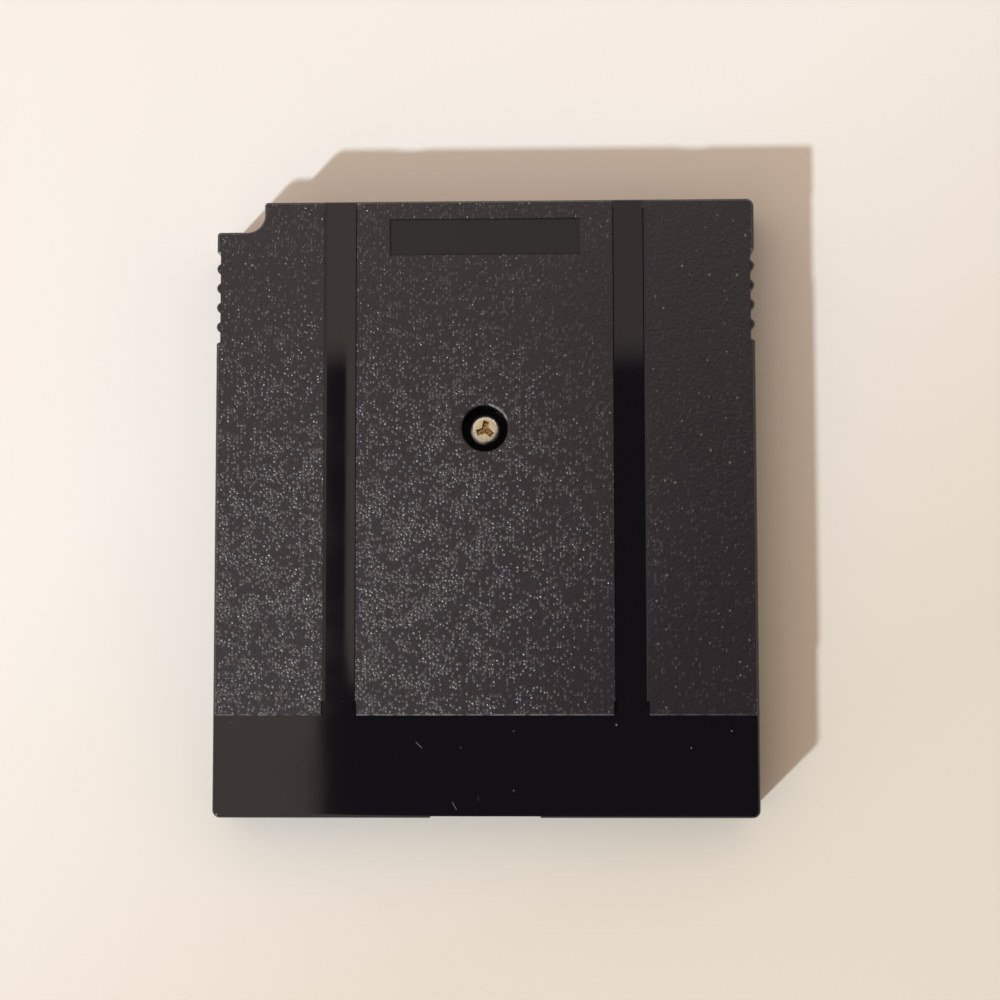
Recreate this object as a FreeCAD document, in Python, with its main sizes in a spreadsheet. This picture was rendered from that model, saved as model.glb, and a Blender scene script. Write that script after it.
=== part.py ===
import FreeCAD, Part
import math
import os
import re
import types
import Sketcher

# Game cartridge, lying on its front face with the screw side up.
# X runs across the case, Y from the mouth to the stepped top edge, Z from the front face to the rear panels.
# The origin is under the middle of the case, on the front face. Lengths are millimetres, angles degrees.

DIMENSIONS = {
    # Outer form of the case
    "case_width": 57.0,
    "case_height": 65.0,
    "case_depth": 7.5,
    "corner_radius": 0.8,
    "edge_radius": 0.45,
    "side_wall": 1.5,
    "front_wall": 1.2,
    "rear_wall": 1.5,
    "parting_height": 4.3,
    # Stepped corner at the top
    "notch_width": 5.05,
    "notch_height": 3.2,
    "notch_root_radius": 1.85,
    "notch_lip_radius": 0.35,
    # Raised panels, guide grooves and lower strip of the rear face
    "panel_relief": 0.3,
    "panel_inset": 0.2,
    "strip_height": 10.6,
    "centre_panel_width": 27.0,
    "groove_width": 3.5,
    "groove_wall_run": 0.3,
    "groove_slope_run": 1.5,
    "groove_slope_middle": 0.8,
    "groove_middle_rise": 0.05,
    "groove_shoulder_run": 0.15,
    "groove_shoulder_rise": 0.15,
    "groove_flare_length": 1.5,
    "groove_flare": 0.1,
    "panel_edge_bevel": 0.15,
    # Shallow bare plate on the centre panel
    "plate_width": 20.1,
    "plate_height": 3.9,
    "plate_depth": 0.2,
    "plate_from_top": 2.05,
    # Side grips
    "grip_from_top": 5.45,
    "grip_length": 9.65,
    "grip_end_slope": 0.2,
    "grip_depth": 0.5,
    "grip_rib_count": 4,
    "grip_rib_pitch": 2.08,
    "grip_rib_radius": 0.6,
    "grip_rib_end": 0.68,
    # Mouth
    "cheek_width": 2.7,
    "cheek_depth": 3.0,
    "lip_relief_width": 11.5,
    "lip_relief_depth": 0.2,
    # Lap joint between the halves
    "lap_thickness": 0.45,
    "lap_height": 0.75,
    "lap_clearance": 0.05,
    # Snap hooks on the rear half
    "hook_width": 5.0,
    "hook_thickness": 0.6,
    "hook_gap": 0.1,
    "hook_reach": 0.4,
    "hook_nose_height": 0.6,
    "hook_tip_clearance": 1.1,
    "top_hook_spacing": 28.0,
    "side_hook_from_bottom": 12.5,
    # Screw, its well in the rear half and its boss in the front half
    "screw_from_bottom": 40.6,
    "well_diameter": 4.85,
    "well_depth": 2.5,
    "well_rim_radius": 0.2,
    "seat_thickness": 1.0,
    "tube_diameter": 7.2,
    "screw_clearance": 0.25,
    "head_diameter": 3.1,
    "head_height": 1.3,
    "head_crown": 0.4,
    "shank_diameter": 1.6,
    "screw_tip_height": 0.9,
    "tip_taper": 0.3,
    "wing_count": 3,
    "wing_length": 1.0,
    "wing_width": 0.44,
    "wing_offset": 0.08,
    "wing_depth": 0.6,
    "wing_angle": 76.0,
    "boss_diameter": 5.0,
    "pilot_spare": 0.2,
    # Front face: bare label recess, bare top recess and insertion arrow
    "label_width": 43.0,
    "label_height": 38.0,
    "label_depth": 0.2,
    "label_radius": 1.5,
    "label_from_bottom": 13.0,
    "top_recess_width": 42.0,
    "top_recess_height": 6.4,
    "top_recess_depth": 0.25,
    "top_recess_radius": 3.0,
    "top_recess_from_top": 3.2,
    "arrow_width": 5.0,
    "arrow_height": 2.6,
    "arrow_depth": 0.2,
    "arrow_from_bottom": 4.6,
    # Circuit board and what locates it
    "board_side_gap": 1.4,
    "board_height": 45.5,
    "board_thickness": 0.8,
    "board_standoff": 0.7,
    "board_setback": 4.6,
    "tongue_shoulder": 1.0,
    "tongue_length": 8.4,
    "tongue_bevel": 0.25,
    "boss_clearance": 0.5,
    "pin_diameter": 2.0,
    "pin_clearance": 0.1,
    "pin_inset": 2.3,
    "pin_from_board_top": 2.0,
    "pin_projection": 0.4,
    "rail_width": 1.0,
    "rail_inset": 0.4,
    "rail_end_margin": 4.5,
    "press_rib_length": 5.0,
    "press_rib_spacing": 21.5,
    "press_rib_from_board_top": 12.6,
    # Edge contacts
    "contact_margin": 0.8,
    "contact_pitch": 1.5,
    "contact_width": 1.0,
    "contact_length": 6.5,
    "contact_thickness": 0.05,
    "contact_setback": 0.35,
    # Leads and moulded packages
    "lead_pitch": 1.27,
    "lead_width": 0.42,
    "lead_thickness": 0.15,
    "lead_drop": 0.5,
    "lead_span": 1.35,
    "package_standoff": 0.1,
    "package_draft": 7.0,
    "package_bevel": 0.3,
    "program_length": 20.4,
    "program_width": 11.2,
    "program_headroom": 0.7,
    "program_lead_count": 16,
    "program_from_left": 15.6,
    "program_from_board_top": 28.1,
    "program_turn": 0.0,
    "controller_length": 15.3,
    "controller_width": 7.5,
    "controller_headroom": 0.8,
    "controller_lead_count": 12,
    "controller_from_left": 10.0,
    "controller_from_board_top": 9.5,
    "controller_turn": 90.0,
    "save_length": 18.1,
    "save_width": 8.4,
    "save_headroom": 0.7,
    "save_lead_count": 14,
    "save_from_right": 10.0,
    "save_from_board_top": 9.4,
    "save_turn": -90.0,
    "monitor_length": 4.9,
    "monitor_width": 3.9,
    "monitor_headroom": 1.4,
    "monitor_lead_count": 4,
    "monitor_from_board_top": 17.2,
    "monitor_turn": 0.0,
    # Coin cell and its tabs
    "cell_diameter": 16.0,
    "cell_thickness": 1.6,
    "cell_cap_diameter": 13.4,
    "cell_cap_rise": 0.3,
    "cell_rim_bevel": 0.3,
    "cell_from_right": 10.6,
    "cell_from_board_top": 28.4,
    "cell_turn": 90.0,
    "tab_width": 4.0,
    "tab_thickness": 0.15,
    "tab_weld_length": 5.0,
    "tab_side_gap": 0.35,
    "tab_foot": 1.2,
    # Ceramic capacitors and chip resistors
    "capacitor_length": 3.2,
    "capacitor_width": 1.6,
    "capacitor_thickness": 1.1,
    "capacitor_end": 0.5,
    "capacitor_count": 3,
    "capacitor_pitch": 5.0,
    "capacitor_from_left": 3.1,
    "capacitor_from_board_top": 22.6,
    "capacitor_turn": -90.0,
    "resistor_length": 2.0,
    "resistor_width": 1.25,
    "resistor_thickness": 0.5,
    "resistor_end": 0.35,
    "resistor_count": 3,
    "resistor_pitch": 4.0,
    "resistor_from_left": 9.1,
    "resistor_from_board_top": 19.2,
    "resistor_turn": 0.0,
}

# The same values as plain numbers, to find edges by their place
size = types.SimpleNamespace(**DIMENSIONS)

# Heights and places that several pieces share, as expressions of the driving dimensions
CASE_TOP = "case_height / 2"
CASE_BOTTOM = "-case_height / 2"
LOW_LEVEL = "(case_depth - panel_relief)"
REAR_INSIDE = "(case_depth - panel_relief - rear_wall)"
SEAT_LEVEL = "(case_depth - well_depth)"
BOSS_LEVEL = "(case_depth - well_depth - seat_thickness)"
BOARD_UNDER = "(front_wall + board_standoff)"
BOARD_LEVEL = "(front_wall + board_standoff + board_thickness)"
BOARD_BOTTOM = "(board_setback - case_height / 2)"
BOARD_TOP = "(board_setback + board_height - case_height / 2)"
TONGUE_TOP = "(board_setback + tongue_length - case_height / 2)"
CHEEK_TOP = "(cheek_depth - case_height / 2)"
BOARD_HALF = "(case_width / 2 - side_wall - board_side_gap)"
TONGUE_HALF = "(case_width / 2 - side_wall - board_side_gap - tongue_shoulder)"
MOUTH_HALF = "(case_width / 2 - cheek_width)"
SCREW_Y = "(screw_from_bottom - case_height / 2)"
PIN_X = "(case_width / 2 - side_wall - board_side_gap - pin_inset)"
PIN_Y = "(board_setback + board_height - pin_from_board_top - case_height / 2)"
RAIL_OUTER = f"({BOARD_HALF} - rail_inset)"
RAIL_INNER = f"({BOARD_HALF} - rail_inset - rail_width)"
GRIP_Y = "(case_height / 2 - grip_from_top - grip_length / 2)"
RIB_HEAD = "(case_depth - grip_rib_end)"
HOOK_TIP = "(front_wall + hook_tip_clearance)"
NOSE_TOP = "(front_wall + hook_tip_clearance + hook_nose_height)"
STRIP_TOP = "(strip_height - case_height / 2)"
PLATE_TOP = "(case_height / 2 - plate_from_top)"
CONTACT_COUNT = f"(floor((2 * ({TONGUE_HALF} - contact_margin) - contact_width) / contact_pitch) + 1)"

# Where each component stands in plan: measured from the nearer side of the board and from its top edge
PLACES = {
    "program": (f"program_from_left - {BOARD_HALF}", f"{BOARD_TOP} - program_from_board_top"),
    "controller": (f"controller_from_left - {BOARD_HALF}", f"{BOARD_TOP} - controller_from_board_top"),
    "save": (f"{BOARD_HALF} - save_from_right", f"{BOARD_TOP} - save_from_board_top"),
    "monitor": ("0", f"{BOARD_TOP} - monitor_from_board_top"),
    "cell": (f"{BOARD_HALF} - cell_from_right", f"{BOARD_TOP} - cell_from_board_top"),
    "capacitor": (f"capacitor_from_left - {BOARD_HALF}", f"{BOARD_TOP} - capacitor_from_board_top"),
    "resistor": (f"resistor_from_left - {BOARD_HALF}", f"{BOARD_TOP} - resistor_from_board_top"),
}

# Directions of a grip rib's corners, in degrees from straight outwards
RIB_TURNS = (-90, -45, 0, 45, 90)

# Directions of the corners that stand for the panel's round corners, in degrees
ROOT_TURNS = (0, 22.5, 45, 67.5, 90)
CORNER_TURNS = (0, 30, 60, 90)

# Extra reach of a cut that has to leave the solid cleanly
OVERSHOOT = "2"

# Distance within which an edge counts as being at a place
NEAR = 1e-4

# Value of a constraint until its expression sets it
START = 1.0

doc = FreeCAD.newDocument("game_cartridge")
sheet = doc.addObject("Spreadsheet::Sheet", "dims")
for row, (name, value) in enumerate(DIMENSIONS.items(), start=1):
    sheet.set(f"A{row}", name)
    sheet.set(f"B{row}", str(value))
    sheet.setAlias(f"B{row}", name)
doc.recompute()


# Helpers: expressions, sketches and features

def bound(text):
    """Point every dimension's name in an expression at its cell."""
    def cell(word):
        return f"dims.{word.group()}" if word.group() in DIMENSIONS else word.group()
    return re.sub(r"[a-z_]+", cell, text)


def new_body(label, x="0", y="0", z="0", turn="0"):
    """Start a sub-part whose own origin is placed by expressions and turned about Z."""
    body = doc.addObject("PartDesign::Body", label)
    body.Label = label
    body.AllowCompound = True
    body.setExpression("Placement.Base.x", bound(x))
    body.setExpression("Placement.Base.y", bound(y))
    body.setExpression("Placement.Base.z", bound(z))
    body.setExpression("Placement.Rotation.Angle", bound(turn))
    return body


def origin_feature(body, role):
    return next(feature for feature in body.Origin.OriginFeatures if feature.Role == role)


def new_sketch(body, name, height="0", plane="XY_Plane"):
    """Sketch on one of the body's origin planes, raised along the plane's normal."""
    sketch = body.newObject("Sketcher::SketchObject", name)
    sketch.AttachmentSupport = (origin_feature(body, plane), "")
    sketch.MapMode = "FlatFace"
    sketch.setExpression("AttachmentOffset.Base.z", bound(height))
    return sketch


def tie_point(sketch, geometry, position, point):
    """Fix one point of a sketch by its two coordinates."""
    for kind, text in zip(("DistanceX", "DistanceY"), point):
        index = sketch.addConstraint(Sketcher.Constraint(kind, -1, 1, geometry, position, START))
        sketch.setExpression(f"Constraints[{index}]", bound(text))


def draw_polygon(sketch, points):
    """Closed outline through corners that are given as pairs of expressions."""
    count = len(points)
    turns = [2 * math.pi * index / count for index in range(count)]
    start = [FreeCAD.Vector(math.cos(turn), math.sin(turn), 0) for turn in turns]
    first = sketch.GeometryCount
    for index in range(count):
        sketch.addGeometry(Part.LineSegment(start[index], start[(index + 1) % count]))
    for index in range(count):
        following = first + (index + 1) % count
        sketch.addConstraint(Sketcher.Constraint("Coincident", first + index, 2, following, 1))
    for index, point in enumerate(points):
        tie_point(sketch, first + index, 1, point)


def draw_rectangle(sketch, left, bottom, right, top):
    draw_polygon(sketch, [(left, bottom), (right, bottom), (right, top), (left, top)])


def draw_circle(sketch, x, y, diameter):
    index = sketch.addGeometry(Part.Circle(FreeCAD.Vector(0, 0, 0), FreeCAD.Vector(0, 0, 1), START))
    tie_point(sketch, index, 3, (x, y))
    constraint = sketch.addConstraint(Sketcher.Constraint("Diameter", index, START))
    sketch.setExpression(f"Constraints[{constraint}]", bound(diameter))


def add_pad(body, sketch, length, upward=True, symmetric=False, taper="0"):
    pad = body.newObject("PartDesign::Pad", f"{sketch.Name}_pad")
    pad.Profile = sketch
    pad.Reversed = not upward
    if symmetric:
        pad.SideType = "Symmetric"
    pad.setExpression("Length", bound(length))
    pad.setExpression("TaperAngle", bound(taper))
    doc.recompute()
    return pad


def add_pocket(body, sketch, length, upward=False):
    """Cut a sketch into the body, against its normal or along it, and stop if the cut removed nothing."""
    before = body.Shape.Volume
    pocket = body.newObject("PartDesign::Pocket", f"{sketch.Name}_pocket")
    pocket.Profile = sketch
    pocket.Reversed = upward
    pocket.setExpression("Length", bound(length))
    doc.recompute()
    if body.Shape.Volume >= before:
        raise RuntimeError(f"{pocket.Name} removes nothing")
    return pocket


def add_revolution(body, sketch):
    """Turn a sketch on the XZ plane about the body's Z axis."""
    revolution = body.newObject("PartDesign::Revolution", f"{sketch.Name}_revolution")
    revolution.Profile = sketch
    revolution.ReferenceAxis = (origin_feature(body, "Z_Axis"), [""])
    doc.recompute()
    return revolution


def add_row(body, features, axis, pitch, count):
    """Repeat features along an axis at a pitch."""
    row = body.newObject("PartDesign::LinearPattern", f"{features[0].Name}_row")
    row.Originals = features
    row.Direction = (origin_feature(body, axis), [""])
    row.Mode = "Spacing"
    row.setExpression("Offset", bound(pitch))
    row.setExpression("Occurrences", bound(count))
    body.Tip = row
    doc.recompute()
    return row


def dress_edges(body, kind, size, name, wanted):
    """Round (Fillet) or bevel (Chamfer) the edges of the body that the test picks."""
    base = body.Tip
    names = [f"Edge{index}" for index, edge in enumerate(base.Shape.Edges, start=1) if wanted(edge)]
    if not names:
        raise RuntimeError(f"{name} finds no edges")
    dressing = body.newObject(f"PartDesign::{kind}", name)
    dressing.Base = (base, names)
    dressing.setExpression("Radius" if kind == "Fillet" else "Size", bound(size))
    doc.recompute()
    return dressing


def is_kind(edge, kind):
    return not edge.Degenerated and edge.Curve.TypeId == kind


def is_upright(edge):
    if not is_kind(edge, "Part::GeomLine"):
        return False
    return abs(abs(edge.tangentAt(edge.FirstParameter).z) - 1) < 1e-6


def upright_at(*places):
    """Test for an upright edge at one of some places in plan."""
    def wanted(edge):
        if not is_upright(edge):
            return False
        foot = edge.Vertexes[0].Point
        return any(math.hypot(foot.x - place.x, foot.y - place.y) < NEAR for place in places)
    return wanted


def level_at(height):
    """Test for an edge that lies wholly at one height."""
    return lambda edge: max(abs(edge.BoundBox.ZMin - height), abs(edge.BoundBox.ZMax - height)) < NEAR


# Outline shared by both halves of the case

def case_path(inset, bottom):
    """Left side, stepped corner, top and right side of the case at an inset from its outer face."""
    left = f"-case_width / 2 + ({inset})"
    right = f"case_width / 2 - ({inset})"
    step_x = f"notch_width - case_width / 2 + ({inset})"
    step_y = f"case_height / 2 - notch_height - ({inset})"
    top = f"case_height / 2 - ({inset})"
    return [(left, bottom), (left, step_y), (step_x, step_y), (step_x, top), (right, top), (right, bottom)]


def cavity_path():
    """Inside of the case, which narrows between the cheeks and runs out through the mouth."""
    outside = f"{CASE_BOTTOM} - {OVERSHOOT}"
    left, right = f"-{MOUTH_HALF}", MOUTH_HALF
    cheek_ends = [(right, CHEEK_TOP), (right, outside), (left, outside), (left, CHEEK_TOP)]
    return case_path("side_wall", CHEEK_TOP) + cheek_ends


def case_block(body, bottom, height):
    """Outline of the case raised to a block, with its upright corners rounded."""
    outline = new_sketch(body, f"{body.Label}_outline", bottom)
    draw_polygon(outline, case_path("0", CASE_BOTTOM))
    add_pad(body, outline, height)
    corners = [outline.getPoint(index, 1) for index in range(outline.GeometryCount)]
    lower_left, notch_outer, notch_root, notch_inner, upper_right, lower_right = corners
    plain = upright_at(lower_left, upper_right, lower_right)
    lips = upright_at(notch_outer, notch_inner)
    dress_edges(body, "Fillet", "corner_radius", f"{body.Label}_corners", plain)
    dress_edges(body, "Fillet", "notch_lip_radius", f"{body.Label}_lips", lips)
    dress_edges(body, "Fillet", "notch_root_radius", f"{body.Label}_root", upright_at(notch_root))


def side_grips(body, rib_bottom, rib_top):
    """Shallow recess in both sides with a row of upright ribs that end short of the case's face."""
    recess = new_sketch(body, f"{body.Label}_grip_recess", f"-{OVERSHOOT}")
    first_rib = f"{GRIP_Y} - (grip_rib_count - 1) / 2 * grip_rib_pitch"
    ribs = new_sketch(body, f"{body.Label}_grip_ribs", rib_bottom)
    for side in ("-", ""):
        outer = f"{side}(case_width / 2 + grip_depth)"
        inner = f"{side}(case_width / 2 - grip_depth)"
        draw_polygon(recess, [
            (outer, f"{GRIP_Y} - grip_length / 2 - grip_end_slope"),
            (outer, f"{GRIP_Y} + grip_length / 2 + grip_end_slope"),
            (inner, f"{GRIP_Y} + grip_length / 2"),
            (inner, f"{GRIP_Y} - grip_length / 2"),
        ])
        draw_polygon(ribs, [
            (f"{side}(case_width / 2 - grip_rib_radius * (1 - cos({turn})))",
             f"{first_rib} + grip_rib_radius * sin({turn})")
            for turn in RIB_TURNS
        ])
    add_pocket(body, recess, f"case_depth + 2 * {OVERSHOOT}", upward=True)
    rib_pair = add_pad(body, ribs, f"{rib_top} - ({rib_bottom})")
    add_row(body, [rib_pair], "Y_Axis", "grip_rib_pitch", "grip_rib_count")


def lip_relief(body):
    """Shallow set-back in the middle of the mouth's edge."""
    relief = new_sketch(body, f"{body.Label}_lip_relief", f"-{OVERSHOOT}")
    draw_rectangle(relief, "-lip_relief_width / 2", f"{CASE_BOTTOM} - {OVERSHOOT}",
                   "lip_relief_width / 2", f"{CASE_BOTTOM} + lip_relief_depth")
    add_pocket(body, relief, f"case_depth + 2 * {OVERSHOOT}", upward=True)


def draw_hooks(sketch, near, far, spare):
    """Two rectangles inside the top wall and one inside each side wall, at two distances from the walls."""
    half = f"(hook_width / 2 + {spare})"
    wall_y = "(case_height / 2 - side_wall)"
    wall_x = "(case_width / 2 - side_wall)"
    side_y = "(side_hook_from_bottom - case_height / 2)"
    for side in ("-", ""):
        middle = f"{side}top_hook_spacing / 2"
        draw_rectangle(sketch, f"{middle} - {half}", f"{wall_y} - {far}",
                       f"{middle} + {half}", f"{wall_y} - {near}")
        draw_rectangle(sketch, f"{side}({wall_x} - {far})", f"{side_y} - {half}",
                       f"{side}({wall_x} - {near})", f"{side_y} + {half}")


# Front half of the case

def make_front_shell():
    body = new_body("front_shell")
    case_block(body, "0", "parting_height")
    dress_edges(body, "Fillet", "edge_radius", "front_shell_face_edge", level_at(0))
    side_grips(body, "grip_rib_end", "parting_height")
    lip_relief(body)
    front_face_recesses(body)
    cavity = new_sketch(body, "front_cavity", "parting_height")
    draw_polygon(cavity, cavity_path())
    add_pocket(body, cavity, "parting_height - front_wall")
    rebate = new_sketch(body, "front_rebate", "parting_height")
    rebate_inset = "side_wall - lap_thickness - lap_clearance"
    draw_polygon(rebate, case_path(rebate_inset, f"{CHEEK_TOP} - lap_clearance"))
    add_pocket(body, rebate, "lap_height + lap_clearance")
    hook_pockets = new_sketch(body, "front_hook_pockets", f"{NOSE_TOP} + hook_gap")
    draw_hooks(hook_pockets, "-(hook_reach + hook_gap)", "hook_gap", "hook_gap")
    add_pocket(body, hook_pockets, "hook_nose_height + 2 * hook_gap")
    board_supports(body)
    boss = new_sketch(body, "front_boss", "front_wall")
    draw_circle(boss, "0", SCREW_Y, "boss_diameter")
    add_pad(body, boss, f"{BOSS_LEVEL} - front_wall")
    pilot = new_sketch(body, "front_pilot", BOSS_LEVEL)
    draw_circle(pilot, "0", SCREW_Y, "shank_diameter")
    add_pocket(body, pilot, f"{BOSS_LEVEL} - screw_tip_height + pilot_spare")
    return body


def front_face_recesses(body):
    """Bare recesses of the front face: label, top field and the arrow that points to the mouth."""
    label = new_sketch(body, "label_recess")
    label_bottom = f"{CASE_BOTTOM} + label_from_bottom"
    draw_rectangle(label, "-label_width / 2", label_bottom,
                   "label_width / 2", f"{label_bottom} + label_height")
    add_pocket(body, label, "label_depth", upward=True)
    round_recess(body, "label_radius", "label_corners", label)
    field = new_sketch(body, "top_recess")
    field_top = f"{CASE_TOP} - top_recess_from_top"
    draw_rectangle(field, "-top_recess_width / 2", f"{field_top} - top_recess_height",
                   "top_recess_width / 2", field_top)
    add_pocket(body, field, "top_recess_depth", upward=True)
    round_recess(body, "top_recess_radius", "top_recess_corners", field)
    arrow = new_sketch(body, "insertion_arrow")
    arrow_tip = f"{CASE_BOTTOM} + arrow_from_bottom"
    draw_polygon(arrow, [("0", arrow_tip), ("arrow_width / 2", f"{arrow_tip} + arrow_height"),
                         ("-arrow_width / 2", f"{arrow_tip} + arrow_height")])
    add_pocket(body, arrow, "arrow_depth", upward=True)


def round_recess(body, radius, name, sketch):
    """Round the upright corners of a recess."""
    corners = [sketch.getPoint(index, 1) for index in range(sketch.GeometryCount)]
    dress_edges(body, "Fillet", radius, name, upright_at(*corners))


def board_supports(body):
    """Rails under the board's sides and tongue, and two pins that locate it."""
    rails = new_sketch(body, "board_rails", "front_wall")
    for side in ("-", ""):
        draw_rectangle(rails, f"{side}{RAIL_INNER}", f"{TONGUE_TOP} + rail_width",
                       f"{side}{RAIL_OUTER}", f"{BOARD_TOP} - rail_end_margin")
    tongue_edge = f"({TONGUE_HALF} - rail_inset)"
    draw_rectangle(rails, f"-{tongue_edge}", f"{BOARD_BOTTOM} + tongue_length / 2",
                   tongue_edge, f"{BOARD_BOTTOM} + tongue_length / 2 + rail_width")
    add_pad(body, rails, "board_standoff")
    pins = new_sketch(body, "board_pins", "front_wall")
    for side in ("-", ""):
        draw_circle(pins, f"{side}{PIN_X}", PIN_Y, "pin_diameter")
    add_pad(body, pins, "board_standoff + board_thickness + pin_projection")


# Rear half of the case

def make_rear_shell():
    body = new_body("rear_shell")
    case_block(body, "parting_height", f"{LOW_LEVEL} - parting_height")
    low_level = level_at(size.case_depth - size.panel_relief)
    dress_edges(body, "Fillet", "edge_radius", "rear_shell_face_edge", low_level)
    raised_panel(body)
    guide_grooves(body)
    side_grips(body, "parting_height", RIB_HEAD)
    lip_relief(body)
    cavity = new_sketch(body, "rear_cavity", "parting_height")
    draw_polygon(cavity, cavity_path())
    add_pocket(body, cavity, f"{REAR_INSIDE} - parting_height", upward=True)
    lap = new_sketch(body, "rear_lap", "parting_height - lap_height")
    lap_outer = case_path("side_wall - lap_thickness", CHEEK_TOP)
    lap_inner = case_path("side_wall", CHEEK_TOP)
    draw_polygon(lap, lap_outer + lap_inner[::-1])
    add_pad(body, lap, f"lap_height + {REAR_INSIDE} - parting_height")
    snap_hooks(body)
    press_ribs(body)
    screw_well(body)
    return body


def panel_path():
    """Outline of the raised panel, with the case's round corners as short straight steps."""
    corners = case_path("panel_inset", STRIP_TOP)
    lower_left, notch_outer, notch_root, notch_inner, upper_right, lower_right = corners
    lip = "(notch_lip_radius - panel_inset)"
    root = "(notch_root_radius + panel_inset)"
    corner = "(corner_radius - panel_inset)"
    outer_lip = [(notch_outer[0], f"{notch_outer[1]} - {lip}"), (f"{notch_outer[0]} + {lip}", notch_outer[1])]
    inner_lip = [(notch_inner[0], f"{notch_inner[1]} - {lip}"), (f"{notch_inner[0]} + {lip}", notch_inner[1])]
    root_steps = [(f"{notch_root[0]} - {root} * (1 - sin({turn}))",
                   f"{notch_root[1]} + {root} * (1 - cos({turn}))") for turn in ROOT_TURNS]
    corner_steps = [(f"{upper_right[0]} - {corner} * (1 - sin({turn}))",
                     f"{upper_right[1]} - {corner} * (1 - cos({turn}))") for turn in CORNER_TURNS]
    return [lower_left] + outer_lip + root_steps + inner_lip + corner_steps + [lower_right]


def raised_panel(body):
    """Panel that stands proud of the rear face above the lower strip, with the shallow plate in it."""
    panel = new_sketch(body, "raised_panel", f"{LOW_LEVEL} - edge_radius")
    draw_polygon(panel, panel_path())
    add_pad(body, panel, "edge_radius + panel_relief")
    dress_edges(body, "Chamfer", "panel_edge_bevel", "panel_rim", level_at(size.case_depth))
    plate = new_sketch(body, "bare_plate", "case_depth")
    draw_rectangle(plate, "-plate_width / 2", f"{PLATE_TOP} - plate_height", "plate_width / 2", PLATE_TOP)
    add_pocket(body, plate, "plate_depth")


def guide_grooves(body):
    """Two grooves that part the panel in three, each with a hollow inner slope and a flared lower end."""
    grooves = new_sketch(body, "guide_grooves", f"-({CASE_TOP} + {OVERSHOOT})", plane="XZ_Plane")
    flares = new_sketch(body, "groove_flares", "case_depth")
    for side in ("-", ""):
        inner = "centre_panel_width / 2"
        outer = "centre_panel_width / 2 + groove_width"
        above = f"case_depth + {OVERSHOOT}"
        draw_polygon(grooves, [
            (f"{side}({inner})", above),
            (f"{side}({inner})", "case_depth"),
            (f"{side}({inner} + groove_shoulder_run)", f"{LOW_LEVEL} + groove_shoulder_rise"),
            (f"{side}({inner} + groove_slope_middle)", f"{LOW_LEVEL} + groove_middle_rise"),
            (f"{side}({inner} + groove_slope_run)", LOW_LEVEL),
            (f"{side}({outer} - groove_wall_run)", LOW_LEVEL),
            (f"{side}({outer})", "case_depth"),
            (f"{side}({outer})", above),
        ])
        draw_rectangle(flares, f"{side}({inner} - groove_flare)", f"{STRIP_TOP} - {OVERSHOOT}",
                       f"{side}({outer} + groove_flare)", f"{STRIP_TOP} + groove_flare_length")
    add_pocket(body, grooves, f"{CASE_TOP} + {OVERSHOOT} - {STRIP_TOP} + {OVERSHOOT}", upward=True)
    add_pocket(body, flares, "panel_relief")


def snap_hooks(body):
    """Cantilever hooks that reach into pockets of the front half's walls."""
    hooks = new_sketch(body, "snap_hooks", HOOK_TIP)
    draw_hooks(hooks, "hook_gap", "(hook_gap + hook_thickness)", "0")
    add_pad(body, hooks, f"{REAR_INSIDE} - {HOOK_TIP}")
    noses = new_sketch(body, "hook_noses", HOOK_TIP)
    draw_hooks(noses, "-hook_reach", "(hook_gap + hook_thickness)", "0")
    add_pad(body, noses, "hook_nose_height")


def press_ribs(body):
    """Four short ribs that hold the board down on its rails."""
    ribs = new_sketch(body, "press_ribs", BOARD_LEVEL)
    for side in ("-", ""):
        for row_index in ("0", "1"):
            middle = f"({BOARD_TOP} - press_rib_from_board_top - {row_index} * press_rib_spacing)"
            draw_rectangle(ribs, f"{side}{RAIL_INNER}", f"{middle} - press_rib_length / 2",
                           f"{side}{RAIL_OUTER}", f"{middle} + press_rib_length / 2")
    add_pad(body, ribs, f"{REAR_INSIDE} - {BOARD_LEVEL}")


def screw_well(body):
    """Tube behind the centre panel, sunk from outside for the screw's head, with a seat at its end."""
    tube = new_sketch(body, "screw_tube", BOSS_LEVEL)
    draw_circle(tube, "0", SCREW_Y, "tube_diameter")
    add_pad(body, tube, f"{REAR_INSIDE} - {BOSS_LEVEL}")
    well = new_sketch(body, "screw_well", "case_depth")
    draw_circle(well, "0", SCREW_Y, "well_diameter")
    add_pocket(body, well, "well_depth")
    hole = new_sketch(body, "screw_hole", SEAT_LEVEL)
    draw_circle(hole, "0", SCREW_Y, "shank_diameter + 2 * screw_clearance")
    add_pocket(body, hole, "seat_thickness")
    face_level = level_at(size.case_depth)
    dress_edges(body, "Fillet", "well_rim_radius", "well_rim",
                lambda edge: is_kind(edge, "Part::GeomCircle") and face_level(edge))


# Screw

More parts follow.
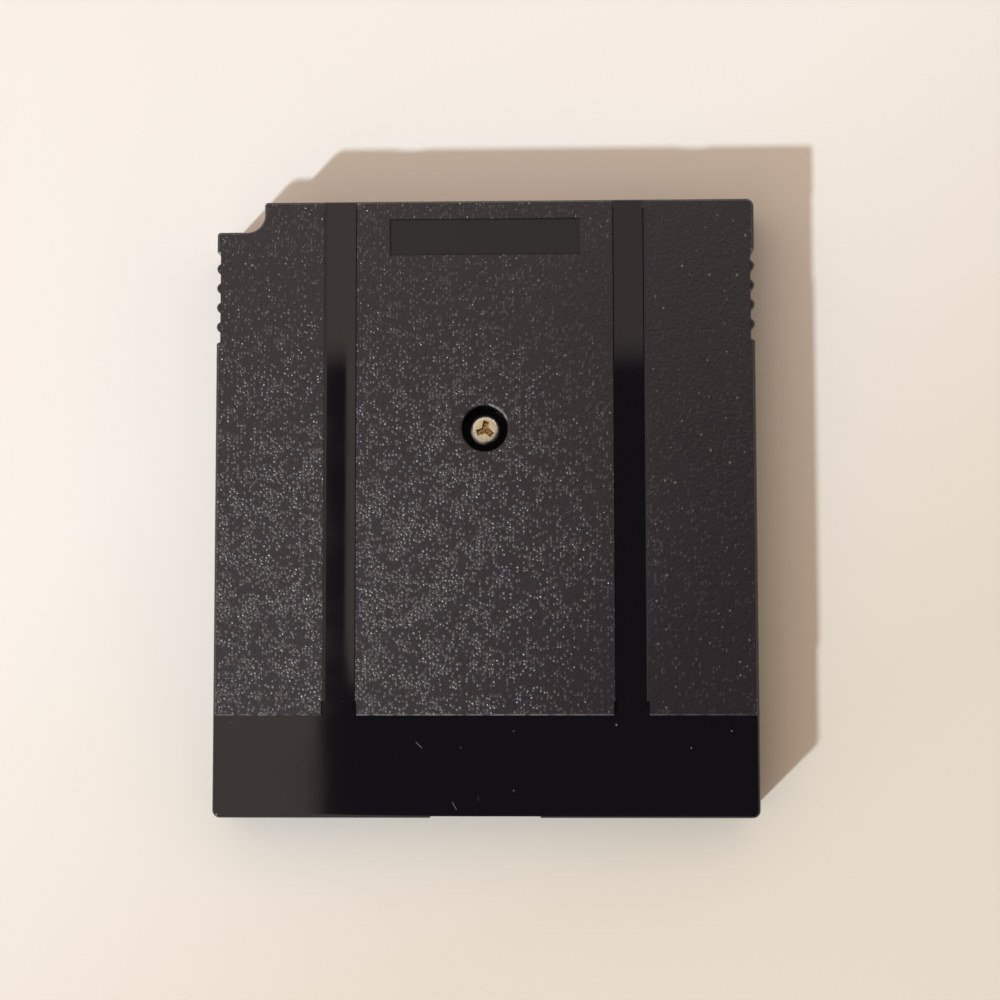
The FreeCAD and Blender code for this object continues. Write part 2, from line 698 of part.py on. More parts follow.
def make_case_screw():
    """Pan-head screw with a three-wing recess, standing on the seat of the well."""
    body = new_body("case_screw", y=SCREW_Y, z=SEAT_LEVEL, turn="wing_angle")
    profile = new_sketch(body, "screw_profile", plane="XZ_Plane")
    tip = f"(screw_tip_height - {SEAT_LEVEL})"
    draw_polygon(profile, [
        ("0", tip),
        ("shank_diameter / 2 - tip_taper", tip),
        ("shank_diameter / 2", f"{tip} + tip_taper"),
        ("shank_diameter / 2", "0"),
        ("head_diameter / 2", "0"),
        ("head_diameter / 2", "head_height - head_crown"),
        ("head_diameter / 2 - head_crown * (1 - cos(45))", "head_height - head_crown * (1 - cos(45))"),
        ("head_diameter / 2 - head_crown", "head_height"),
        ("0", "head_height"),
    ])
    add_revolution(body, profile)
    wing = new_sketch(body, "wing_slot", "head_height")
    draw_rectangle(wing, "-wing_offset", "wing_offset - wing_width / 2",
                   "wing_length", "wing_offset + wing_width / 2")
    slot = add_pocket(body, wing, "wing_depth")
    wings = body.newObject("PartDesign::PolarPattern", "wing_recess")
    wings.Originals = [slot]
    wings.Axis = (origin_feature(body, "Z_Axis"), [""])
    wings.Angle = 360
    wings.setExpression("Occurrences", bound("wing_count"))
    body.Tip = wings
    doc.recompute()
    return body


# Circuit board and edge contacts

def make_circuit_board():
    body = new_body("circuit_board", z=BOARD_UNDER)
    outline = new_sketch(body, "board_outline")
    draw_polygon(outline, [
        (f"-{TONGUE_HALF}", BOARD_BOTTOM), (TONGUE_HALF, BOARD_BOTTOM),
        (TONGUE_HALF, TONGUE_TOP), (BOARD_HALF, TONGUE_TOP),
        (BOARD_HALF, BOARD_TOP), (f"-{BOARD_HALF}", BOARD_TOP),
        (f"-{BOARD_HALF}", TONGUE_TOP), (f"-{TONGUE_HALF}", TONGUE_TOP),
    ])
    draw_circle(outline, "0", SCREW_Y, "boss_diameter + 2 * boss_clearance")
    for side in ("-", ""):
        draw_circle(outline, f"{side}{PIN_X}", PIN_Y, "pin_diameter + 2 * pin_clearance")
    add_pad(body, outline, "board_thickness")
    tongue_end = size.board_setback - size.case_height / 2
    dress_edges(body, "Chamfer", "tongue_bevel", "tongue_bevel",
                lambda edge: not is_upright(edge) and edge.BoundBox.YMax < tongue_end + NEAR)
    return body


def make_edge_contacts():
    body = new_body("edge_contacts", z=BOARD_LEVEL)
    contact = new_sketch(body, "contact_outline")
    middle = f"({CONTACT_COUNT} - 1) / 2 * contact_pitch"
    bottom = f"{BOARD_BOTTOM} + contact_setback"
    draw_rectangle(contact, f"-{middle} - contact_width / 2", bottom,
                   f"-{middle} + contact_width / 2", f"{bottom} + contact_length")
    pad = add_pad(body, contact, "contact_thickness")
    add_row(body, [pad], "X_Axis", "contact_pitch", CONTACT_COUNT)
    return body


# Moulded packages with gull-wing leads

def package_thickness(key):
    """Thickness that leaves a package its headroom under the rear half."""
    return f"({REAR_INSIDE} - {BOARD_LEVEL} - package_standoff - {key}_headroom)"


def make_package(label, key):
    """Moulded body that tapers above and below its parting band, bevelled along the first lead's side."""
    body = new_body(label, *PLACES[key], BOARD_LEVEL, f"{key}_turn")
    thickness = package_thickness(key)
    half_height = f"(({thickness} - lead_thickness) / 2)"
    band_bottom = f"(package_standoff + {half_height})"
    band_top = f"({band_bottom} + lead_thickness)"
    half_x, half_y = f"{key}_length / 2", f"{key}_width / 2"
    for name, level in (("band", band_bottom), ("upper", band_top), ("lower", band_bottom)):
        layer = new_sketch(body, f"{label}_{name}", level)
        draw_rectangle(layer, f"-{half_x}", f"-{half_y}", half_x, half_y)
        if name == "band":
            add_pad(body, layer, "lead_thickness")
        else:
            add_pad(body, layer, half_height, upward=name == "upper", taper="-package_draft")
    at_top = level_at(body.Tip.Shape.BoundBox.ZMax)
    dress_edges(body, "Chamfer", "package_bevel", f"{label}_bevel",
                lambda edge: at_top(edge) and edge.BoundBox.YMax < 0)
    return body


def make_leads(label, key):
    """Two rows of gull-wing leads that stand on the board and meet the package at its band."""
    body = new_body(label, *PLACES[key], BOARD_LEVEL, f"{key}_turn")
    side = f"{key}_width / 2"
    band_bottom = f"(package_standoff + ({package_thickness(key)} - lead_thickness) / 2)"
    first = f"-({key}_lead_count - 1) / 2 * lead_pitch"
    profile = new_sketch(body, f"{label}_profile", first, plane="YZ_Plane")
    for mirror in ("-", ""):
        draw_polygon(profile, [
            (f"{mirror}({side})", band_bottom),
            (f"{mirror}({side} + lead_drop)", "0"),
            (f"{mirror}({side} + lead_span)", "0"),
            (f"{mirror}({side} + lead_span)", "lead_thickness"),
            (f"{mirror}({side} + lead_drop + lead_thickness)", "lead_thickness"),
            (f"{mirror}({side})", f"{band_bottom} + lead_thickness"),
        ])
    pad = add_pad(body, profile, "lead_width", symmetric=True)
    add_row(body, [pad], "X_Axis", "lead_pitch", f"{key}_lead_count")
    return body


# Coin cell and its welded tabs

def make_battery_cell():
    """Can with a bevelled rim over the narrower cap, which faces the board."""
    body = new_body("battery_cell", *PLACES["cell"], f"{BOARD_LEVEL} + tab_thickness", "cell_turn")
    profile = new_sketch(body, "cell_profile", plane="XZ_Plane")
    draw_polygon(profile, [
        ("0", "0"),
        ("cell_cap_diameter / 2", "0"),
        ("cell_cap_diameter / 2", "cell_cap_rise"),
        ("cell_diameter / 2", "cell_cap_rise"),
        ("cell_diameter / 2", "cell_thickness - cell_rim_bevel"),
        ("cell_diameter / 2 - cell_rim_bevel", "cell_thickness"),
        ("0", "cell_thickness"),
    ])
    add_revolution(body, profile)
    return body


def make_battery_base_tab():
    """Flat strip between the board and the cell's cap, which runs out to a foot."""
    body = new_body("battery_base_tab", *PLACES["cell"], BOARD_LEVEL, "cell_turn")
    strip = new_sketch(body, "base_tab_outline")
    draw_rectangle(strip, "-cell_diameter / 2 - tab_side_gap - tab_foot", "-tab_width / 2",
                   "tab_weld_length", "tab_width / 2")
    add_pad(body, strip, "tab_thickness")
    return body


def make_battery_top_tab():
    """Bent strip on the cell's can, down its side to a foot on the board."""
    body = new_body("battery_top_tab", *PLACES["cell"], BOARD_LEVEL, "cell_turn")
    can_top = "(tab_thickness + cell_thickness)"
    leg = "(cell_diameter / 2 + tab_side_gap)"
    profile = new_sketch(body, "top_tab_profile", plane="XZ_Plane")
    draw_polygon(profile, [
        ("-tab_weld_length", can_top),
        (leg, can_top),
        (leg, "0"),
        (f"{leg} + tab_foot", "0"),
        (f"{leg} + tab_foot", "tab_thickness"),
        (f"{leg} + tab_thickness", "tab_thickness"),
        (f"{leg} + tab_thickness", f"{can_top} + tab_thickness"),
        ("-tab_weld_length", f"{can_top} + tab_thickness"),
    ])
    add_pad(body, profile, "tab_width", symmetric=True)
    return body


# Capacitors and resistors: a row of like bodies and the plated ends on them

def make_chip_row(label, key, part):
    """Row of chip bodies or of their two plated ends, each long in X before the row is turned."""
    body = new_body(label, *PLACES[key], BOARD_LEVEL, f"{key}_turn")
    outline = new_sketch(body, f"{label}_outline")
    half_x, half_y = f"{key}_length / 2", f"{key}_width / 2"
    inner = f"({half_x} - {key}_end)"
    if part == "body":
        draw_rectangle(outline, f"-{inner}", f"-{half_y}", inner, half_y)
    else:
        for side in ("-", ""):
            draw_rectangle(outline, f"{side}{inner}", f"-{half_y}", f"{side}({half_x})", half_y)
    pad = add_pad(body, outline, f"{key}_thickness")
    add_row(body, [pad], "X_Axis", f"{key}_pitch", f"{key}_count")
    return body


# Build, check and write every sub-part

def main():
    packages = {"program_memory": "program", "bank_controller": "controller",
                "save_memory": "save", "power_monitor": "monitor"}
    bodies = [make_front_shell(), make_rear_shell(), make_case_screw()]
    bodies += [make_circuit_board(), make_edge_contacts()]
    for label, key in packages.items():
        bodies.append(make_package(label, key))
        bodies.append(make_leads(f"{label}_leads", key))
    bodies += [make_battery_cell(), make_battery_base_tab(), make_battery_top_tab()]
    for key in ("capacitor", "resistor"):
        bodies.append(make_chip_row(f"{key}s", key, "body"))
        bodies.append(make_chip_row(f"{key}_ends", key, "ends"))
    doc.recompute()
    for item in doc.Objects:
        if "Invalid" in item.State or "Error" in item.State:
            raise RuntimeError(f"{item.Name} did not compute")
    for body in bodies:
        if body.Shape.isNull() or not body.Shape.isValid():
            raise RuntimeError(f"{body.Label} has no valid shape")
    os.makedirs("parts", exist_ok=True)
    for body in bodies:
        body.Shape.exportStep(f"parts/{body.Label}.step")
        print(body.Label, len(body.Shape.Solids), "solids", round(body.Shape.Volume, 2), "mm3")


main()
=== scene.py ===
import math

import bmesh
import bpy
from bpy.props import FloatProperty, FloatVectorProperty, IntProperty, PointerProperty
from bpy.types import Operator, Panel, PropertyGroup
from mathutils import Matrix, Vector


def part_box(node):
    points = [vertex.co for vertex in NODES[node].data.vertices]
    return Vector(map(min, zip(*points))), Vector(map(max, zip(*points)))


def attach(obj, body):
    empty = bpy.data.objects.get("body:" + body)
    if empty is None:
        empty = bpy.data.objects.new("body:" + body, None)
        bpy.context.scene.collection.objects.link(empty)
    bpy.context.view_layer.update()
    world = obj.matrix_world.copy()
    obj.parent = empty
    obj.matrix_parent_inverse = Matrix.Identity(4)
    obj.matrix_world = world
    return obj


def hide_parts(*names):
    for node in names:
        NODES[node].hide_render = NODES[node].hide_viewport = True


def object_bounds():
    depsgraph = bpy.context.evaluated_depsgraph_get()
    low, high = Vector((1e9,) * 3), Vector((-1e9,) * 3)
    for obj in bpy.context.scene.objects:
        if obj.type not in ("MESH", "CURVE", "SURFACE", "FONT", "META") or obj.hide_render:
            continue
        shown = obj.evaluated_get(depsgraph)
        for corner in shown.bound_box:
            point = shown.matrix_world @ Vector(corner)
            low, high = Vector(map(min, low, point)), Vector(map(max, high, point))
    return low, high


bl_info = {
    "name": "Game Cartridge Finish",
    "version": (1, 0, 0),
    "blender": (4, 5, 0),
    "location": "3D View > Sidebar > Cartridge",
    "description": "Finishes a game cartridge: plastics, grip ribs, screw, circuit board and a small studio",
    "category": "Object",
}

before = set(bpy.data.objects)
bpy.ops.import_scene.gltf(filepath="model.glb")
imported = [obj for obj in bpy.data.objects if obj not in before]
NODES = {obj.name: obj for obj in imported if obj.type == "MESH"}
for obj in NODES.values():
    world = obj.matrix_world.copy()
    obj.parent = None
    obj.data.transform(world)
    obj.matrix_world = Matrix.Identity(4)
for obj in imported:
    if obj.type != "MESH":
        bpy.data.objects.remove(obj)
CAD_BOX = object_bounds()
BODY = "root"
MM = 0.001

CASE_LOW, CASE_HIGH = CAD_BOX
PANEL_LEVEL = CASE_HIGH.z
PARTING_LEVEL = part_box("front_shell")[1].z
SCREW_LOW, SCREW_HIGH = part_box("case_screw")
SCREW_CENTRE = (SCREW_LOW + SCREW_HIGH) / 2
CONTACTS_LOW, CONTACTS_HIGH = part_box("edge_contacts")


# Kinds of values that a user would change

def colour_value(name, description, default, brightest=1.0):
    return FloatVectorProperty(
        name=name, description=description, subtype="COLOR", default=default, min=0.0, max=brightest)


def share_value(name, description, default):
    return FloatProperty(
        name=name, description=description, subtype="FACTOR", default=default, min=0.0, max=1.0)


def length_value(name, description, default):
    return FloatProperty(name=name, description=description, unit="LENGTH", default=default)


def angle_value(name, description, degrees):
    return FloatProperty(name=name, description=description, subtype="ANGLE", default=math.radians(degrees))


# Sizes and colours that a user would change

class CaseProperties(PropertyGroup):
    plastic: colour_value("Plastic", "Colour of the black plastic", (0.0052, 0.0044, 0.0062))
    panel: colour_value("Panels", "Colour of the grained panels", (0.0165, 0.0125, 0.0150))
    # This colour is real dust and also the painted glints and highlights on the panels and the well's rim
    dust_and_highlights: colour_value("Dust", "Colour of dust specks and rubbed edges", (0.20, 0.19, 0.18))
    # Painted glints: the tips colour paints the sparkle of the grain's bumps
    tips: colour_value("Tips", "Colour of the grain's pale tips", (0.225, 0.195, 0.205))
    # The flecks are painted glints
    glint_flecks: share_value("Flecks", "Strength of the sparse pale flecks on the panels", 0.5)
    gloss_roughness: share_value("Gloss", "Roughness of the smooth low surfaces", 0.035)
    panel_roughness: share_value("Grain roughness", "Roughness of the bumps of the panels' grain", 0.28)
    ground_roughness: share_value("Ground roughness", "Roughness of the panels between the bumps", 0.42)
    rubbed_roughness: share_value("Rubbed roughness", "Roughness of the panels where they are rubbed", 0.27)
    rubbed_grain: share_value("Rubbed grain", "Share of the grain's slope left on rubbed panels", 0.3)
    glint_tips: share_value("Pale tips", "Share of the tips' colour on the grain", 0.25)
    pale_ground: share_value("Pale ground", "Share of dust colour in the mottle between the bumps", 0.05)
    grain_slope: share_value("Grain slope", "Steepness of the sides of the panels' grain", 0.54)
    grain_size: length_value("Grain size", "Width of one bump of the panels' grain", 0.35 * MM)
    seam_width: length_value("Seam width", "Reach of the seam on either side of the parting plane", 0.16 * MM)
    panel_edge: length_value("Panel edge", "Depth below the panels at which their grain ends", 0.05 * MM)


class GripProperties(PropertyGroup):
    rib_count: IntProperty(name="Ribs", description="Grip ribs on each side", default=4, min=1)
    rib_pitch: length_value("Rib pitch", "Distance between grip ribs", 2.08 * MM)
    rib_radius: length_value("Rib radius", "Radius of a grip rib and of its domed end", 0.6 * MM)
    rib_end: length_value("Rib end", "Distance of a rib's plain end from the case's face", 0.68 * MM)
    middle: length_value("Middle", "Place of the row's middle along the case", 22.225 * MM)


class ScrewProperties(PropertyGroup):
    brass: colour_value("Brass", "Colour of the plated head", (0.80, 0.77, 0.56))
    # The rim colour paints a reflection round the head's edge and a highlight on the crown's lower left
    rim: colour_value("Rim", "Colour of the head's bright worn rim", (0.95, 0.93, 0.88))
    tarnish: colour_value("Tarnish", "Colour of dirt in the recess", (0.20, 0.11, 0.03))
    rubbed: colour_value("Rubbed brass", "Colour of the bare brass in the recess", (0.68, 0.48, 0.22))
    head_radius: length_value("Head radius", "Radius of the head", 1.55 * MM)
    head_height: length_value("Head height", "Height of the head above its seat", 1.3 * MM)
    crown_radius: length_value("Crown", "Radius of the head's rounded edge", 0.4 * MM)
    thread_radius: length_value("Thread", "Radius over the thread", 0.8 * MM)
    core_radius: length_value("Core", "Radius at the root of the thread", 0.6 * MM)
    pitch: length_value("Pitch", "Rise of the thread in one turn", 0.62 * MM)
    wing_length: length_value("Wing length", "Reach of each wing of the recess", 1.0 * MM)
    wing_width: length_value("Wing width", "Width of each wing of the recess", 0.7 * MM)
    wing_offset: length_value("Wing offset", "Sideways set of each wing", 0.08 * MM)
    wing_depth: length_value("Wing depth", "Depth of the recess", 0.6 * MM)
    wing_angle: angle_value("Wing angle", "Direction of the first wing", 76.0)


class BoardProperties(PropertyGroup):
    mask: colour_value("Solder mask", "Colour of the board's solder mask", (0.012, 0.085, 0.035))
    laminate: colour_value("Laminate", "Colour of the bare laminate under the contacts", (0.32, 0.30, 0.15))
    gold: colour_value("Gold", "Colour of the plated contacts", (0.83, 0.62, 0.24))
    tin: colour_value("Tin", "Colour of leads and plated ends", (0.66, 0.66, 0.64))
    resin: colour_value("Resin", "Colour of the moulded packages", (0.022, 0.022, 0.024))
    contact_count: IntProperty(name="Contacts", description="Number of edge contacts", default=32, min=1)
    contact_pitch: length_value("Contact pitch", "Distance between edge contacts", 1.5 * MM)
    trace_width: length_value("Trace width", "Width of the copper behind each contact", 0.35 * MM)
    trace_length: length_value("Trace length", "Length of the shorter traces", 1.1 * MM)
    trace_step: length_value("Trace step", "Extra length of every second trace", 0.9 * MM)
    copper_height: length_value("Copper height", "Height of copper and pads on the board", 0.035 * MM)
    via_radius: length_value("Via radius", "Radius of the pad at a trace's end", 0.38 * MM)


class StageProperties(PropertyGroup):
    floor: colour_value("Floor", "Colour of the pale floor", (0.90, 0.84, 0.78))
    # Painted shade: the floor turns to this colour towards the lower right
    floor_painted_shade: colour_value("Far floor", "Colour of the floor away from the light", (0.756, 0.675, 0.569))
    floor_size: length_value("Floor size", "Width of the floor", 6.0)
    lamp_colour: colour_value("Lamp", "Colour of the key lamp", (0.80, 0.95, 1.08), brightest=2.0)
    lamp_power: FloatProperty(
        name="Lamp power", description="Power of the key lamp", unit="POWER", default=37.0)
    lamp_distance: length_value("Lamp distance", "Distance of the key lamp from the part", 2.0)
    lamp_size: length_value("Lamp size", "Diameter of the key lamp", 0.1)
    lamp_azimuth: angle_value("Lamp azimuth", "Direction of the lamp, from +X", 225.9)
    lamp_elevation: angle_value("Lamp elevation", "Height of the lamp above the floor", 35.4)
    ceiling: colour_value("Ceiling", "Light from above", (1.0, 0.83, 0.74), brightest=2.0)
    dim_ceiling: colour_value(
        "Dim ceiling", "Light from the right part of the ceiling", (0.76, 0.63, 0.57), brightest=2.0)
    walls: colour_value("Walls", "Light from the walls", (0.58, 0.49, 0.32), brightest=2.0)
    horizon: colour_value("Horizon", "Pale band behind the floor's edge", (0.74, 0.68, 0.60))
    flag: colour_value("Flag", "Light from the dark card over the part", (0.03, 0.028, 0.034))
    camera_place: FloatVectorProperty(
        name="Camera", description="Place of the camera", subtype="TRANSLATION", unit="LENGTH",
        default=(7.23 * MM, -13.54 * MM, 200.0 * MM))
    camera_pan: angle_value("Pan", "Turn of the camera about the case's long axis", 1.675)
    camera_pitch: angle_value("Pitch", "Turn of the camera about the case's short axis", 4.183)
    camera_roll: angle_value("Roll", "Turn of the camera about its own axis", -0.101)
    camera_lens: FloatProperty(
        name="Lens", description="Focal length for a 36 mm sensor", unit="CAMERA", default=66.39)


class CartridgeProperties(PropertyGroup):
    case: PointerProperty(type=CaseProperties, name="Case", description="Case of the cartridge")
    grips: PointerProperty(type=GripProperties, name="Grips", description="Side grips")
    screw: PointerProperty(type=ScrewProperties, name="Screw", description="Case screw")
    board: PointerProperty(type=BoardProperties, name="Board", description="Circuit board and its components")
    stage: PointerProperty(type=StageProperties, name="Stage", description="Floor, light and camera")


# Short ways to build node trees and pieces

class NodeSheet:
    """Adds and joins the nodes of one tree."""

    def __init__(self, tree):
        self.tree = tree

    def add(self, kind, inputs=None, **settings):
        made = self.tree.nodes.new(kind)
        for name, value in settings.items():
            setattr(made, name, value)
        for name, value in (inputs or {}).items():
            self.feed(made.inputs[name], value)
        return made

    def result(self, kind, inputs=None, **settings):
        """Add a node and give its first output."""
        return self.add(kind, inputs, **settings).outputs[0]

    def feed(self, socket, value):
        if isinstance(value, bpy.types.NodeSocket):
            self.tree.links.new(value, socket)
        elif socket.type == "RGBA":
            socket.default_value = (*value, 1.0)
        else:
            socket.default_value = value

    def math(self, operation, *values, clamp=False):
        made = self.add("ShaderNodeMath", operation=operation, use_clamp=clamp)
        for socket, value in zip(made.inputs, values):
            self.feed(socket, value)
        return made.outputs["Value"]

    def product(self, first, *others):
        for other in others:
            first = self.math("MULTIPLY", first, other)
        return first

    def ramp(self, value, low, high):
        """Smooth step from 0 at low to 1 at high."""
        limits = {"Value": value, "From Min": low, "From Max": high}
        return self.result("ShaderNodeMapRange", limits, interpolation_type="SMOOTHSTEP")

    def where(self, *steps):
        """Mask that is 1 where each value has passed its ramp, given as (value, (low, high))."""
        return self.product(*(self.ramp(value, *limits) for value, limits in steps))

    def mix(self, factor, low, high):
        return self.add("ShaderNodeMix", {0: factor, 2: low, 3: high}, data_type="FLOAT").outputs[0]

    def mix_colour(self, factor, low, high):
        return self.add("ShaderNodeMix", {0: factor, 6: low, 7: high}, data_type="RGBA").outputs[2]

    def vector(self, **sides):
        """A vector from its named sides, with zero for the others."""
        return self.result("ShaderNodeCombineXYZ", sides)

    def vectors(self, operation, first, second):
        return self.result("ShaderNodeVectorMath", {0: first, 1: second}, operation=operation)

    def coordinates(self):
        return self.add("ShaderNodeTexCoord").outputs["Object"]

    def place(self):
        """The three coordinates of a point on the object."""
        return self.add("ShaderNodeSeparateXYZ", {"Vector": self.coordinates()}).outputs

    def about_screw(self, place):
        """Place in the plane across the screw, from its axis, and the distance from that axis."""
        x = self.math("SUBTRACT", place["X"], SCREW_CENTRE.x)
        y = self.math("SUBTRACT", place["Y"], SCREW_CENTRE.y)
        squares = [self.math("POWER", side, 2.0) for side in (x, y)]
        return x, y, self.math("SQRT", self.math("ADD", *squares))

    def noise(self, size, detail=2.0, roughness=0.5):
        scale = self.math("DIVIDE", 1.0, size) if isinstance(size, bpy.types.NodeSocket) else 1.0 / size
        inputs = {"Vector": self.coordinates(), "Scale": scale, "Detail": detail, "Roughness": roughness}
        return self.add("ShaderNodeTexNoise", inputs).outputs["Fac"]

    def cells(self, vector, size, **settings):
        """Random cells: the distance from a cell's middle, and three chances that are each cell's own."""
        inputs = {"Vector": vector, "Scale": self.math("DIVIDE", 1.0, size), "Randomness": 1.0}
        made = self.add("ShaderNodeTexVoronoi", inputs, feature="F1", **settings)
        chances = self.add("ShaderNodeSeparateColor", {"Color": made.outputs["Color"]})
        return made.outputs["Distance"], chances.outputs

    def use(self, group, **inputs):
        """Place a shared node group, with its values by name."""
        made = self.add("ShaderNodeGroup", node_tree=bpy.data.node_groups[group])
        for name, value in inputs.items():
            self.feed(made.inputs[name.capitalize()], value)
        return made.outputs

    def finish(self, shader, colour, roughness, height, distance):
        """Feed a shader's colour and roughness, and tilt its normals by a height times a distance."""
        bump = self.result("ShaderNodeBump", {"Height": height, "Distance": distance, "Strength": 1.0})
        for name, value in (("Base Color", colour), ("Roughness", roughness), ("Normal", bump)):
            self.feed(shader.inputs[name], value)


SOCKET_TYPES = {int: "NodeSocketInt", float: "NodeSocketFloat", type(None): "NodeSocketMaterial"}


def new_group(name, inputs, outputs, kind="ShaderNodeTree", output_type="NodeSocketFloat"):
    """Start a node group with named inputs, given with their defaults, and named outputs."""
    tree = bpy.data.node_groups.new(name, kind)
    for socket_name, default in inputs.items():
        socket_type = SOCKET_TYPES[type(default)]
        socket = tree.interface.new_socket(socket_name, in_out="INPUT", socket_type=socket_type)
        if default is not None:
            socket.default_value = default
    for socket_name in outputs:
        tree.interface.new_socket(socket_name, in_out="OUTPUT", socket_type=output_type)
    sheet = NodeSheet(tree)
    source = sheet.add("NodeGroupInput")
    target = sheet.add("NodeGroupOutput")
    return sheet, source.outputs, target.inputs


def new_shape_tree(name, inputs):
    return new_group(name, inputs, ["Geometry"], "GeometryNodeTree", "NodeSocketGeometry")


def end_shape_tree(sheet, target, groups, material):
    """Join groups of instances, make them real and give them their finish."""
    joined = sheet.add("GeometryNodeJoinGeometry")
    for instances in groups:
        sheet.feed(joined.inputs["Geometry"], instances)
    real = sheet.result("GeometryNodeRealizeInstances", {"Geometry": joined.outputs["Geometry"]})
    finished = sheet.result("GeometryNodeSetMaterial", {"Geometry": real, "Material": material})
    sheet.feed(target["Geometry"], finished)
    return sheet.tree


def new_material(name):
    material = bpy.data.materials.new(name)
    material.use_nodes = True
    material.node_tree.nodes.clear()
    sheet = NodeSheet(material.node_tree)
    shader = sheet.add("ShaderNodeBsdfPrincipled")
    sheet.add("ShaderNodeOutputMaterial", {"Surface": shader.outputs["BSDF"]})
    return material, sheet, shader


def toned(colour, factor):
    """A colour made lighter or darker."""
    return tuple(channel * factor for channel in colour)


def cover(node, material):
    """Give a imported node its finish."""
    materials = NODES[node].data.materials
    materials.clear()
    materials.append(material)


def join_scene(piece, replaced=()):
    """Let a finished piece ride on the part, and hide the parts that it replaces."""
    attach(piece, BODY)
    if replaced:
        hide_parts(*replaced)


def new_object(name, mesh):
    made = bpy.data.objects.new(name, mesh)
    bpy.context.scene.collection.objects.link(made)
    return made


def shape_mesh(name, shape):
    """Keep an edited shape as a mesh."""
    mesh = bpy.data.meshes.new(name)
    shape.to_mesh(mesh)
    shape.free()
    return mesh


def freeze(piece):
    """Keep what a piece's modifiers give as its plain mesh, and remove them."""
    evaluated = piece.evaluated_get(bpy.context.evaluated_depsgraph_get())
    mesh = bpy.data.meshes.new_from_object(evaluated)
    piece.modifiers.clear()
    piece.data = mesh


def smooth(piece, sharp_degrees):
    piece.data.shade_smooth()
    piece.data.set_sharp_from_angle(angle=math.radians(sharp_degrees))


def grow(name, tree, values):
    """Run a geometry tree once and keep its result as a plain mesh."""
    piece = new_object(name, bpy.data.meshes.new(name))
    modifier = piece.modifiers.new("shape", "NODES")
    modifier.node_group = tree
    for item in tree.interface.items_tree:
        if item.item_type == "SOCKET" and item.in_out == "INPUT":
            modifier[item.identifier] = values[item.name]
    freeze(piece)
    return piece


# Effects that several finishes share

# Lengths in the moulded grain, as shares of one bump's size
GRAIN_STRAY = 0.7
GRAIN_STRAY_WAVE = 0.625
GRAIN_REACH = 0.55
GRAIN_TIP = 0.165
GRAIN_GROUND = 0.1
GRAIN_PATCH = 5.0

# Noise between which a dense patch starts, and the flattest bump's slope and its spread, as shares
PATCH_RANGE = (0.38, 0.62)
LEAST_SLOPE = 0.75
SLOPE_SPREAD = 0.5

# Share of the bumps that is missing between the dense patches, and where the grain is worn off
SPARSE_LOSS = 0.7
WORN_LOSS = 0.88

# Share of a speck's radius that is full, and noise between which a smudge starts
SPECK_CORE = 0.5
SMUDGE_RANGE = (0.35, 0.75)


def make_moulded_grain():
    """Spark-eroded mould grain: pointed bumps on an uneven ground, with their height in millimetres."""
    inputs = {"Size": 0.4 * MM, "Slope": 0.5, "Mask": 1.0, "Wear": 0.0}
    sheet, source, target = new_group("moulded_grain", inputs, ["Height", "Tips"])
    size, mask = source["Size"], source["Mask"]
    coordinates = sheet.coordinates()
    waves = sheet.math("DIVIDE", 1 / GRAIN_STRAY_WAVE, size)
    wander = sheet.add("ShaderNodeTexNoise", {"Vector": coordinates, "Scale": waves, "Detail": 1.0})
    centred = sheet.vectors("SUBTRACT", wander.outputs["Color"], (0.5, 0.5, 0.5))
    stray = sheet.product(size, GRAIN_STRAY)
    strayed = sheet.result("ShaderNodeVectorMath", {0: centred, "Scale": stray}, operation="SCALE")
    warped = sheet.vectors("ADD", coordinates, strayed)
    distance, chance = sheet.cells(warped, size, voronoi_dimensions="2D")
    patches = sheet.ramp(sheet.noise(sheet.product(size, GRAIN_PATCH), detail=3.0), *PATCH_RANGE)
    missing = sheet.mix(source["Wear"], sheet.mix(patches, SPARSE_LOSS, 0.0), WORN_LOSS)
    present = sheet.math("GREATER_THAN", chance["Red"], missing)
    inside = sheet.math("MAXIMUM", sheet.math("SUBTRACT", GRAIN_REACH, distance), 0.0)
    tips = sheet.product(inside, present)
    width = sheet.math("DIVIDE", size, MM)
    uneven = sheet.math("MULTIPLY_ADD", chance["Green"], SLOPE_SPREAD, LEAST_SLOPE)
    bumps = sheet.product(tips, width, sheet.product(uneven, source["Slope"]))
    ground = sheet.product(sheet.noise(size, detail=3.0), sheet.product(width, GRAIN_GROUND))
    sheet.feed(target["Height"], sheet.product(sheet.math("ADD", bumps, ground), mask))
    sheet.feed(target["Tips"], sheet.product(sheet.ramp(tips, 0.0, GRAIN_TIP), mask))


def make_glint_specks():
    """Sparse small specks, used as painted glints."""
    sheet, source, target = new_group("glint_specks", {"Size": 1.2 * MM, "Reach": 0.05}, ["Mask"])
    distance, chance = sheet.cells(sheet.coordinates(), source["Size"])
    reach = sheet.product(source["Reach"], chance["Red"])
    core = sheet.product(reach, SPECK_CORE)
    sheet.feed(target["Mask"], sheet.math("SUBTRACT", 1.0, sheet.ramp(distance, core, reach)))


def make_smudges():
    """Broad uneven film, as fingers leave it."""
    sheet, source, target = new_group("smudges", {"Size": 9.0 * MM}, ["Film"])
    film = sheet.noise(source["Size"], detail=4.0, roughness=0.6)
    sheet.feed(target["Film"], sheet.ramp(film, *SMUDGE_RANGE))


# Finishes

# Film, rough marks, painted glint flecks, seam and mottle of the grained plastic, with plain numbers as
# shares
FILM_SIZE = 9.0 * MM
FILM_ROUGHNESS = 0.04
MARK_ROUGHNESS = 0.6
FLECK_SPACING = 0.95 * MM
FLECK_REACH = 0.2
SEAM_DEPTH_IN_MM = 0.08
SEAM_FLOOR = 0.3
MOTTLE_SIZE = 0.8
MOTTLE_RANGE = (0.4, 0.7)


